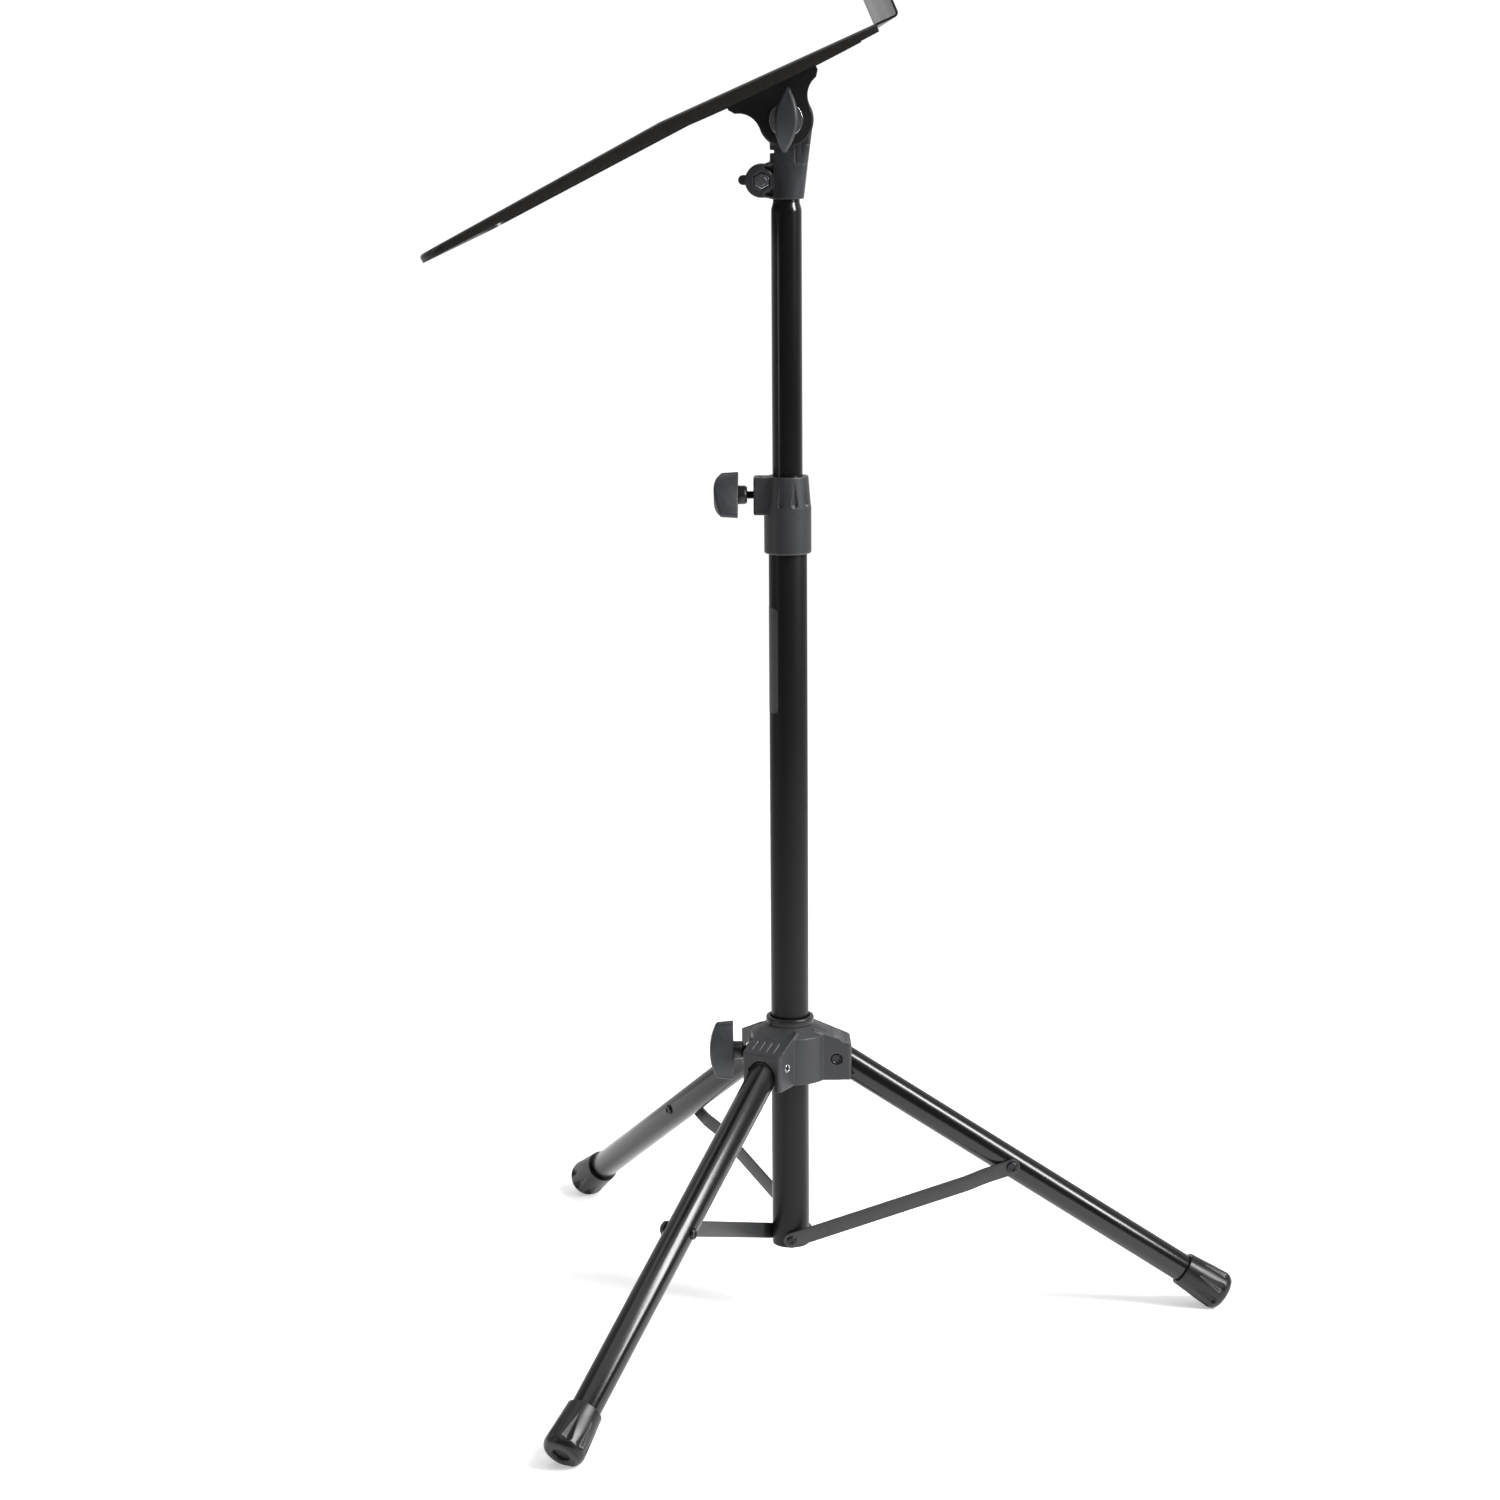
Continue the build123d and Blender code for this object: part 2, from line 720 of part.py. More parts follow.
with BuildPart() as leg_pins:
    for azimuth in leg_azimuths.values():
        view = leg_view(azimuth)
        with BuildSketch(view):
            with Locations((pin_from_column, pin_z)):
                Circle(pin_r)
        extrude(amount=housing_half, both=True)
        with BuildSketch(view.offset(housing_half - housing_recess_t)):
            with Locations((pin_from_column, pin_z)):
                Circle(pin_flange_r)
        extrude(amount=pin_flange_t, taper=15)
        with BuildSketch(view.offset(housing_half - pin_dish_t)):
            with Locations((pin_from_column, pin_z)):
                Circle(pin_dish_r)
        extrude(amount=pin_dish_t + 1, mode=Mode.SUBTRACT)
        with BuildSketch(view.offset(-housing_half)):
            with Locations((pin_from_column, pin_z)):
                Circle(pin_bore_r)
        extrude(amount=pin_bore_depth, mode=Mode.SUBTRACT)
save(leg_pins, "leg_pins")

hub_nut = hex_nut(hub_knob, hub_nut_start, hub_nut_t, hub_nut_flats, m8_r + running_gap)
save(hub_nut, "hub_nut")
hub_pad = pressure_pad(hub_knob, hub_pad_start, m8_r)
save(hub_pad, "hub_pressure_pad")
hub_knob_grip = tee_grip(hub_knob, hub_grip_start, m8_r)
save(hub_knob_grip, "hub_knob_grip")
hub_knob_ferrule = ferrule(hub_knob, hub_ferrule_start, hub_grip_start, m8_r)
save(hub_knob_ferrule, "hub_knob_ferrule")
hub_screw_tip = hub_pad_start + pad_t + tip_gap
hub_knob_screw = screw(hub_knob, hub_screw_tip, hub_grip_start + grip_bite, m8_r)
save(hub_knob_screw, "hub_knob_screw")

# ---------------------------------------------------------------- legs, feet and braces
foot_flute = flute_cutter(flute_r, flute_l)

with BuildPart() as foot_shape:
    with BuildSketch(Plane.XZ):
        with BuildLine():
            Polyline(
                (0, foot_start + foot_length),
                (0, leg_tube_end),
                (leg_r, leg_tube_end),
                (leg_r, foot_start),
                (foot_mouth_r, foot_start),
                (foot_max_r, foot_start + foot_shoulder_l),
            )
            ThreePointArc(
                (foot_max_r, foot_start + foot_shoulder_l),
                (
                    foot_end_r + (foot_max_r - foot_end_r) * cos(radians(45)),
                    foot_start + foot_shoulder_l + (foot_length - foot_shoulder_l) * sin(radians(45)),
                ),
                (foot_end_r, foot_start + foot_length),
            )
            Line((foot_end_r, foot_start + foot_length), (0, foot_start + foot_length))
        make_face()
    revolve(axis=Axis.Z)
    for i in range(foot_flutes):
        spoke = Plane.XY.offset(foot_start + flute_end).rotated((0, 0, 360 * (i + 0.5) / foot_flutes))
        lean = radians(flute_lean)
        groove = Plane(
            origin=spoke.from_local_coords((foot_max_r + 0.8, 0, 0)),
            z_dir=spoke.z_dir * -cos(lean) - spoke.x_dir * sin(lean),
        )
        with Locations(groove):
            add(foot_flute.part, mode=Mode.SUBTRACT)
    with BuildSketch(Plane.XY.offset(foot_start + foot_length)):
        Circle(foot_dish_r)
    extrude(amount=-foot_dish_depth, mode=Mode.SUBTRACT)

for name, azimuth in leg_azimuths.items():
    line = leg_line(azimuth)
    leg_section = Plane(origin=line.origin, x_dir=line.z_dir, z_dir=line.x_dir)

    with BuildPart() as leg_tube:
        with BuildSketch(leg_section.offset(leg_tube_start)):
            Circle(leg_r)
            Circle(leg_r - leg_wall, mode=Mode.SUBTRACT)
        extrude(amount=leg_tube_end - leg_tube_start)
        with BuildSketch(line):
            with Locations((brace_on_leg, 0)):
                Circle(rivet_r)
        extrude(amount=leg_r + 1, both=True, mode=Mode.SUBTRACT)
    save(leg_tube, f"leg_tube_{name}")

    with BuildPart() as leg_plug:
        with BuildSketch(leg_section.offset(-leg_r)):
            Circle(leg_r)
        extrude(amount=leg_r + leg_tube_start)
        with BuildSketch(line):
            Circle(leg_r)
            with Locations((leg_r, 0)):
                Rectangle(2 * leg_r, 2 * leg_r)
        extrude(amount=leg_r, both=True, mode=Mode.INTERSECT)
        with BuildSketch(leg_section.offset(leg_tube_start)):
            Circle(leg_r - leg_wall)
        extrude(amount=plug_depth)
        with BuildSketch(leg_section.offset(leg_tube_start)):
            Circle(leg_r - leg_wall - plug_wall)
        extrude(amount=plug_depth, mode=Mode.SUBTRACT)
        with BuildSketch(line):
            Circle(pin_r + running_gap)
        extrude(amount=leg_r, both=True, mode=Mode.SUBTRACT)
    save(leg_plug, f"leg_plug_{name}")

    with BuildPart() as leg_rivet:
        with BuildSketch(line.offset(-leg_r)):
            with Locations((brace_on_leg, 0)):
                Circle(rivet_r)
        extrude(amount=2 * leg_r - rivet_set_back)
        with BuildSketch(line.offset(-leg_r)):
            with Locations((brace_on_leg, 0)):
                Circle(rivet_tail_r)
        extrude(amount=-rivet_head_t, taper=rivet_taper)
    save(leg_rivet, f"leg_rivet_{name}")

    with BuildPart() as foot:
        with Locations(leg_section):
            add(foot_shape.part)
        with BuildSketch(Plane.XY):
            Rectangle(foot_clear, foot_clear)
        extrude(amount=-foot_clear, mode=Mode.SUBTRACT)
    save(foot, f"foot_{name}")

    strip = brace_line(azimuth)
    strip_edge = Plane(origin=strip.origin, x_dir=strip.x_dir, z_dir=-strip.y_dir)
    leg_side = leg_r + brace_gap
    end = brace_w / 2
    joggle_end = brace_length - joggle_from_end
    joggle_start = joggle_end - joggle_length
    with BuildPart() as brace:
        with BuildSketch(strip_edge):
            with BuildLine():
                Polyline(
                    (-end, brace_inner),
                    (joggle_start, brace_inner),
                    (joggle_end, leg_side),
                    (brace_length + end, leg_side),
                    (brace_length + end, leg_side + brace_t),
                    (joggle_end, leg_side + brace_t),
                    (joggle_start, brace_inner + brace_t),
                    (-end, brace_inner + brace_t),
                    close=True,
                )
            make_face()
        extrude(amount=end, both=True)
        with BuildSketch(strip):
            with Locations((brace_length / 2, 0)):
                SlotCenterToCenter(brace_length, brace_w)
        extrude(amount=brace_inner + 2 * brace_t, mode=Mode.INTERSECT)
        with BuildSketch(strip):
            Circle(pivot_rivet_r + running_gap)
            with Locations((brace_length, 0)):
                Circle(rivet_r)
        extrude(amount=brace_inner + 2 * brace_t, mode=Mode.SUBTRACT)
    save(brace, f"brace_{name}")

    with BuildPart() as brace_rivet:
        with BuildSketch(strip.offset(leg_side)):
            with Locations((brace_length, 0)):
                Circle(rivet_r)
        extrude(amount=brace_t)
        with BuildSketch(strip.offset(leg_side + brace_t)):
            with Locations((brace_length, 0)):
                Circle(rivet_head_r)
        extrude(amount=rivet_head_t, taper=rivet_taper)
        with BuildSketch(strip.offset(leg_side + brace_t + rivet_dish_from)):
            with Locations((brace_length, 0)):
                Circle(rivet_dish_r)
        extrude(amount=rivet_head_t, mode=Mode.SUBTRACT)
    save(brace_rivet, f"brace_rivet_{name}")

# ---------------------------------------------------------------- head with its split clamp
screw_line = Plane(origin=(column_x - clamp_ear_x, column_y, clamp_ear_z), x_dir=(1, 0, 0), z_dir=(0, 1, 0))
with BuildPart() as tongue_root:
    with BuildSketch(ground.offset(head_waist_z)):
        with Locations((tongue_side_x - waist_r, 0)):
            RectangleRounded(2 * waist_r, 2 * waist_half, waist_corner_r)
        with Locations((waist_shift, 0)):
            RectangleRounded(2 * waist_r, 2 * waist_half, waist_corner_r)
    extrude(amount=tongue_side_z - head_waist_z)
    with BuildSketch(front_view):
        with BuildLine():
            Polyline(
                (waist_shift - waist_r, head_waist_z),
                (waist_shift - waist_r, tongue_shoulder_z),
                (tongue_side_x, tongue_side_z),
                (waist_shift + waist_r, head_waist_z),
                close=True,
            )
        make_face()
    extrude(amount=tongue_half, both=True, mode=Mode.INTERSECT)

nut_line = Plane(origin=screw_line.origin, x_dir=(0, 0, 1), z_dir=screw_line.z_dir)
with BuildPart() as head_casting:
    with BuildSketch(ground.offset(head_bottom_z)):
        with Locations((clamp_shift, 0)):
            Circle(clamp_r)
    with BuildSketch(ground.offset(head_waist_z)):
        with Locations((waist_shift, 0)):
            RectangleRounded(2 * waist_r, 2 * waist_half, waist_corner_r)
    loft()
    with BuildSketch(tilt_view):
        Circle(tongue_r)
    extrude(amount=tongue_half, both=True)
    add(tongue_root.part)
    with BuildSketch(front_view):
        with Locations((-clamp_ear_x, clamp_ear_z)):
            Circle(clamp_ear_r)
        with BuildLine():
            Polyline(
                (-ear_crest_x, clamp_ear_z + ear_crest),
                (-ear_root_x, clamp_top_z + ear_root_rise),
                (-ear_root_x, head_bottom_z),
                (-ear_crest_x, clamp_ear_z - ear_crest),
                close=True,
            )
        make_face()
    extrude(amount=clamp_ear_half, both=True)
    with BuildSketch(ground.offset(head_bottom_z - 2)):
        Circle(spigot_r + running_gap)
    extrude(amount=spigot_top_z + 1 - head_bottom_z + 2, mode=Mode.SUBTRACT)
    rise = (clamp_line_z - head_bottom_z) / (head_waist_z - head_bottom_z)
    core_x = clamp_r + (waist_r - clamp_r) * rise - clamp_line_depth
    core_y = clamp_r + (waist_half - clamp_r) * rise - clamp_line_depth
    with BuildSketch(ground.offset(clamp_line_z - clamp_line_w / 2)):
        with Locations((clamp_line_start, 0)):
            Rectangle(2 * clamp_r, 4 * clamp_r, align=(Align.MIN, Align.CENTER))
        with Locations((clamp_shift + (waist_shift - clamp_shift) * rise, 0)):
            RectangleRounded(2 * core_x, 2 * core_y, clamp_line_corner, mode=Mode.SUBTRACT)
    extrude(amount=clamp_line_w, mode=Mode.SUBTRACT)
    for side in (-1, 1):
        with BuildSketch(front_view.offset(side * clamp_ear_half)):
            for way in (-1, 1):
                with BuildLine():
                    Polyline(
                        (-ear_pocket_end, clamp_ear_z + way * ear_web_half),
                        (-ear_pocket_end, clamp_ear_z + way * ear_pocket_half_end),
                        (-ear_pocket_start, clamp_ear_z + way * ear_pocket_half_start),
                        (-ear_pocket_start, clamp_ear_z + way * ear_web_half),
                        close=True,
                    )
                make_face()
            with Locations((-clamp_ear_x, clamp_ear_z)):
                Circle(ear_boss_r, mode=Mode.SUBTRACT)
        extrude(amount=-side * ear_pocket_depth, mode=Mode.SUBTRACT)
    with BuildSketch(ground.offset(head_bottom_z)):
        with Locations((-split_start_x, 0)):
            Rectangle(split_length, clamp_split, align=(Align.MAX, Align.CENTER))
    extrude(amount=clamp_top_z - head_bottom_z, mode=Mode.SUBTRACT)
    with BuildSketch(front_view):
        with Locations((head_window_x, head_window_z)):
            Rectangle(head_window_l, head_window_h)
    extrude(amount=tongue_half + 1, both=True, mode=Mode.SUBTRACT)
    with BuildSketch(tilt_view):
        Circle(m8_r + running_gap)
    extrude(amount=tongue_half + 1, both=True, mode=Mode.SUBTRACT)
    with BuildSketch(screw_line):
        Circle(m6_r + 0.1)
    extrude(amount=clamp_ear_half + 1, both=True, mode=Mode.SUBTRACT)
    with BuildSketch(nut_line.offset(-clamp_ear_half - 1)):
        RegularPolygon(nut_recess_flats / 2, 6, major_radius=False)
    extrude(amount=nut_recess_t + 1, mode=Mode.SUBTRACT)
    with BuildSketch(ground.offset(clamp_top_z + 2)):
        groove_y = tongue_half + head_groove_r / 2
        with Locations(*[(x, y) for x in head_groove_x for y in (-groove_y, groove_y)]):
            Circle(head_groove_r)
    extrude(amount=head_groove_l, mode=Mode.SUBTRACT)
save(head_casting, "head_casting")

nut_seat = -clamp_ear_half + nut_recess_t
clamp_nut = hex_nut(nut_line, nut_seat - clamp_nut_t, clamp_nut_t, clamp_nut_flats, m6_r + running_gap)
save(clamp_nut, "clamp_nut")

with BuildPart() as tilt_washers:
    for side in (-1, 1):
        with BuildSketch(tilt_view.offset(side * tongue_half)):
            Circle(washer_r)
            Circle(m8_r + running_gap, mode=Mode.SUBTRACT)
        extrude(amount=side * washer_t)
save(tilt_washers, "tilt_friction_washers")

clamp_screw_start = -clamp_ear_half - clamp_screw_tail
clamp_screw = screw(screw_line, clamp_screw_start, clamp_screw_start + clamp_screw_length, m6_r)
save(clamp_screw, "clamp_screw")

wing_start = clamp_ear_half + wing_gap
with BuildPart() as clamp_wing:
    with BuildSketch(screw_line.offset(wing_start)):
        Circle(wing_boss_r)
    extrude(amount=wing_boss_t, taper=wing_boss_taper)
    with BuildSketch(screw_line.offset(wing_start + wing_boss_t)):
        SlotOverall(2 * wing_half, wing_t)
    extrude(amount=wing_h)
    fillet(clamp_wing.faces().sort_by(Axis.Y)[-1].edges(), wing_edge)
    with BuildSketch(screw_line.offset(wing_start)):
        Circle(m6_r)
    extrude(amount=clamp_screw_start + clamp_screw_length - wing_start, mode=Mode.SUBTRACT)
save(clamp_wing, "clamp_wing")

# ---------------------------------------------------------------- desk, bracket and tilt knob
bend = radians(desk_bend)
desk_tip = (desk_bend_u - desk_upper_length * cos(bend), desk_face_v - desk_upper_length * sin(bend))
desk_back_v = desk_face_v - desk_sheet
plan_left = desk_tip[0]
desk_screw_points = [(u, y) for u in (-desk_screw_u, desk_screw_u) for y in (-desk_screw_y, desk_screw_y)]
plan_length = desk_ledge_u - plan_left

# the desk's face seen from above, with z going into the sheet
into_face = Plane(
    origin=desk_plan.from_local_coords((0, 0, desk_face_v)),
    x_dir=desk_plan.x_dir,
    z_dir=-desk_plan.z_dir,
)
screw_spots = [(u, -y) for u, y in desk_screw_points]


def below(point, depth):
    """Point under the desk's face by a depth."""
    return (point[0], point[1] - depth)


with BuildPart() as desk_hollow:
    with BuildSketch(desk_view):
        with BuildLine():
            Polyline(
                below(desk_tip, desk_sheet),
                (desk_bend_u, desk_back_v),
                (desk_ledge_u + 1, desk_back_v),
                (desk_ledge_u + 1, desk_back_v - 40),
                below(desk_tip, desk_sheet + 40),
                close=True,
            )
        make_face()
    extrude(amount=desk_half_width, both=True)
    with BuildSketch(desk_plan) as inner_plan:
        with Locations((plan_left + desk_sheet, 0)):
            Rectangle(plan_length, 2 * (desk_half_width - desk_sheet), align=(Align.MIN, Align.CENTER))
        fillet(inner_plan.vertices().group_by(Axis.X)[0], desk_corner_r - desk_sheet)
    extrude(amount=200, both=True, mode=Mode.INTERSECT)

with BuildPart() as desk_plate:
    with BuildSketch(desk_view):
        with BuildLine():
            Polyline(
                below(desk_tip, rim_depth_top),
                desk_tip,
                (desk_bend_u, desk_face_v),
                (rim_start_u, desk_face_v),
                (rim_start_u, desk_face_v - rim_depth_ledge),
            )
            ThreePointArc(
                (rim_start_u, desk_face_v - rim_depth_ledge),
                (0, desk_face_v - rim_depth_middle),
                below((desk_bend_u, desk_face_v), rim_depth_middle),
            )
            Line(below((desk_bend_u, desk_face_v), rim_depth_middle), below(desk_tip, rim_depth_top))
        make_face()
    extrude(amount=desk_half_width, both=True)
    with BuildSketch(desk_plan) as outer_plan:
        with Locations((plan_left, 0)):
            Rectangle(plan_length, 2 * desk_half_width, align=(Align.MIN, Align.CENTER))
        fillet(outer_plan.vertices().group_by(Axis.X)[0], desk_corner_r)
    extrude(amount=200, both=True, mode=Mode.INTERSECT)
    add(desk_hollow.part, mode=Mode.SUBTRACT)
    with BuildSketch(desk_view):
        with BuildLine():
            ledge_top = desk_face_v + ledge_depth
            Polyline(
                (rim_start_u - 1, desk_face_v),
                (desk_ledge_u - desk_sheet, desk_face_v),
                (desk_ledge_u - desk_sheet, ledge_top - desk_sheet),
                (desk_ledge_u - lip_length, ledge_top - desk_sheet),
                (desk_ledge_u - lip_length, ledge_top),
                (desk_ledge_u, ledge_top),
                (desk_ledge_u, desk_back_v),
                (rim_start_u - 1, desk_back_v),
                close=True,
            )
        make_face()
    extrude(amount=desk_half_width, both=True)
    with BuildSketch(desk_plan):
        with Locations(*desk_screw_points):
            Circle(screw_r)
    extrude(amount=desk_face_v + 1, mode=Mode.SUBTRACT)
    with BuildSketch(into_face):
        with Locations(*screw_spots):
            Circle(screw_head_r)
    extrude(amount=countersink_t, taper=45, mode=Mode.SUBTRACT)
save(desk_plate, "desk_plate")

# half the bracket's outline: a foot under the desk, then a hollow curve in to its lobe
bracket_end = [
    (bracket_half_length, desk_back_v),
    (bracket_half_length, bracket_corner_v),
    (bracket_shoulder_u, bracket_shoulder_v),
]
hollow_middle = (bracket_hollow_u, bracket_hollow_v)
hollow_end = (lobe_r + bracket_flare, bracket_flare_v)
with BuildPart() as desk_bracket:
    with BuildSketch(desk_view):
        Circle(lobe_r)
        with BuildLine():
            Polyline(*bracket_end)
            ThreePointArc(bracket_end[-1], hollow_middle, hollow_end)
            Polyline(hollow_end, (lobe_r, 0), (-lobe_r, 0), (-hollow_end[0], hollow_end[1]))
            ThreePointArc(
                (-hollow_end[0], hollow_end[1]),
                (-hollow_middle[0], hollow_middle[1]),
                (-bracket_end[-1][0], bracket_end[-1][1]),
            )
            Polyline(*[(-u, v) for u, v in bracket_end[::-1]])
            Line((-bracket_end[0][0], bracket_end[0][1]), bracket_end[0])
        make_face()
    extrude(amount=bracket_inner + bracket_t, both=True)
    with BuildSketch(desk_view):
        with Locations((0, desk_back_v - bracket_t)):
            Rectangle(3 * bracket_half_length, 80, align=(Align.CENTER, Align.MAX))
    extrude(amount=bracket_inner, both=True, mode=Mode.SUBTRACT)
    with BuildSketch(desk_view):
        Circle(m8_r)
    extrude(amount=bracket_inner + bracket_t + 1, both=True, mode=Mode.SUBTRACT)
    with BuildSketch(desk_plan):
        with Locations(*desk_screw_points):
            Circle(screw_r)
    extrude(amount=desk_face_v, mode=Mode.SUBTRACT)
save(desk_bracket, "desk_bracket")

with BuildPart() as desk_screws:
    for point in desk_screw_points:
        head_centre = desk_plan.from_local_coords((*point, desk_back_v - bracket_t))
        with BuildSketch(Plane(origin=head_centre, x_dir=desk_plan.x_dir, z_dir=-desk_plan.z_dir)):
            Circle(screw_head_r)
        extrude(amount=screw_head_t, taper=20)
        with BuildSketch(Plane(origin=head_centre, x_dir=desk_plan.x_dir, z_dir=desk_plan.z_dir)):
            Circle(screw_r)
        extrude(amount=bracket_t + desk_sheet)
    with BuildSketch(into_face):
        with Locations(*screw_spots):
            Circle(screw_head_r)
    extrude(amount=countersink_t, taper=45)
save(desk_screws, "desk_screws")

knob_lean = radians(tilt_knob_lean)
tilt_knob = Plane(origin=tilt_point, x_dir=(sin(knob_lean), 0, cos(knob_lean)), z_dir=(0, -1, 0))
ear_outside = bracket_inner + bracket_t
with BuildPart() as tilt_bolt:
    with BuildSketch(tilt_knob.offset(-ear_outside - bolt_head_t)):
        RegularPolygon(bolt_head_flats / 2, 6, major_radius=False)
    extrude(amount=bolt_head_t)
    with BuildSketch(tilt_knob.offset(-ear_outside)):
        Circle(m8_r)
    extrude(amount=bolt_length)
save(tilt_bolt, "tilt_bolt")

with BuildPart() as tilt_knob_washer:
    with BuildSketch(tilt_knob.offset(ear_outside + tip_gap)):
        Circle(knob_washer_r)
        Circle(m8_r + running_gap, mode=Mode.SUBTRACT)
    extrude(amount=knob_washer_t)
save(tilt_knob_washer, "tilt_knob_washer")
tilt_grip_start = ear_outside + tip_gap + knob_washer_t + tilt_ferrule_length
tilt_ferrule_start = tilt_grip_start - tilt_ferrule_length
tilt_knob_ferrule = ferrule(tilt_knob, tilt_ferrule_start, tilt_grip_start, m8_r + running_gap)
save(tilt_knob_ferrule, "tilt_knob_ferrule")
tilt_knob_grip = tee_grip(tilt_knob, tilt_grip_start, m8_r + running_gap)
save(tilt_knob_grip, "tilt_knob_grip")
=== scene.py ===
import json
from math import cos, pi, radians, sin, sqrt

import bmesh
import bpy
import numpy as np
from mathutils import Matrix, Vector

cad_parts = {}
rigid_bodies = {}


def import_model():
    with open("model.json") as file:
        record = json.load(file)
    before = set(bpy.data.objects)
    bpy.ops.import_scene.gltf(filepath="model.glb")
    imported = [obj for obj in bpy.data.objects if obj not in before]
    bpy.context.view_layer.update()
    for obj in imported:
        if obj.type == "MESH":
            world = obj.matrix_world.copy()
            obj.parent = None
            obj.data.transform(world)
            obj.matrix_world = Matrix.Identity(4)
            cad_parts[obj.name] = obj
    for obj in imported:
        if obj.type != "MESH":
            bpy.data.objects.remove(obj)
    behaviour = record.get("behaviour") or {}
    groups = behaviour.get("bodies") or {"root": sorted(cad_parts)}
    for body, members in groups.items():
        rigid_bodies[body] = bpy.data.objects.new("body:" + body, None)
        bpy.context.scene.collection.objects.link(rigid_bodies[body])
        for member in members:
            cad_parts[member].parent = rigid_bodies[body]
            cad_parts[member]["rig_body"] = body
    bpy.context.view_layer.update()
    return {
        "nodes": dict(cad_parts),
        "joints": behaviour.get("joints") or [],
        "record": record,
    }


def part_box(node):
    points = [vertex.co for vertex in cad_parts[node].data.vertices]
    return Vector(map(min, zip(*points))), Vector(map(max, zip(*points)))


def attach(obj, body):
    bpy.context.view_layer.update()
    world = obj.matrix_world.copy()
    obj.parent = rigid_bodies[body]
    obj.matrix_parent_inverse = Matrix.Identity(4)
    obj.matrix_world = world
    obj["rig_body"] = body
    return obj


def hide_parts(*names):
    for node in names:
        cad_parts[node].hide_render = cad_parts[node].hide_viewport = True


# Looks of a folding music stand. Lengths are in metres and angles in degrees; +Z is up.
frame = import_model()
MM = 0.001
joints = {joint["name"]: joint for joint in frame["joints"]}

# ---------------------------------------------------------------- places read from the frame
tube_low, tube_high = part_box("lower_tube")
column_x = (tube_low.x + tube_high.x) / 2
column_y = (tube_low.y + tube_high.y) / 2
column_foot = Vector((column_x, column_y, 0))
UP = Vector((0, 0, 1))
leg_names = ["right", "rear", "front"]
leg_slope = radians(33.3)

# sizes of the CAD part that several pieces share, in mm
lower_r = 14.0
lower_bore_r = 12.5
upper_r = 11.0
leg_r = 10.8
leg_bore_r = 9.6
m6_r = 3.0
m6_pitch = 1.0
m8_r = 4.0
m8_pitch = 1.25


# ---------------------------------------------------------------- camera
camera_back = 2.3602
camera_height = 0.9164
camera_pitch = radians(11.474)
camera_yaw = radians(-0.694)
camera_roll = radians(-0.396)
camera_lens = 78.34


def place_camera():
    """Camera in front of the column, looking a little down, at the photograph's angle."""
    level = cos(camera_pitch)
    forward = Vector((sin(camera_yaw) * level, cos(camera_yaw) * level, -sin(camera_pitch)))
    level_right = Vector((cos(camera_yaw), -sin(camera_yaw), 0))
    level_up = level_right.cross(forward)
    right = level_right * cos(camera_roll) + level_up * sin(camera_roll)
    up = level_up * cos(camera_roll) - level_right * sin(camera_roll)
    data = bpy.data.cameras.new("camera")
    data.lens = camera_lens
    data.sensor_width = 36.0
    data.clip_end = 60
    camera = bpy.data.objects.new("camera", data)
    camera.matrix_world = Matrix(
        (
            (right.x, up.x, -forward.x, column_x),
            (right.y, up.y, -forward.y, column_y - camera_back),
            (right.z, up.z, -forward.z, camera_height),
            (0, 0, 0, 1),
        )
    )
    bpy.context.scene.collection.objects.link(camera)
    bpy.context.scene.camera = camera


place_camera()


# ---------------------------------------------------------------- materials
def new_material(name):
    """Node material with its nodes and links."""
    material = bpy.data.materials.new(name)
    material.use_nodes = True
    return material, material.node_tree.nodes, material.node_tree.links


def add_node(nodes, kind, **inputs):
    """Node with some of its inputs set."""
    node = nodes.new(kind)
    for socket, value in inputs.items():
        node.inputs[socket.replace("_", " ")].default_value = value
    return node


def noise_at(nodes, links, scale, detail, stretch=(1, 1, 1)):
    """Noise in a piece's own coordinates, with a scale in features to the metre."""
    place = nodes.new("ShaderNodeTexCoord")
    mapping = nodes.new("ShaderNodeMapping")
    mapping.inputs["Scale"].default_value = stretch
    links.new(place.outputs["Object"], mapping.inputs["Vector"])
    noise = add_node(nodes, "ShaderNodeTexNoise", Scale=scale, Detail=detail)
    links.new(mapping.outputs["Vector"], noise.inputs["Vector"])
    return noise.outputs["Fac"]


def ramp(nodes, links, source, low, high, start, end):
    """Spreads source, between start and end, over a value from low to high."""
    node = nodes.new("ShaderNodeMapRange")
    node.inputs["From Min"].default_value = start
    node.inputs["From Max"].default_value = end
    node.inputs["To Min"].default_value = low
    node.inputs["To Max"].default_value = high
    links.new(source, node.inputs["Value"])
    return node.outputs["Result"]


rub_scale = 260
bump_distance = 0.0005


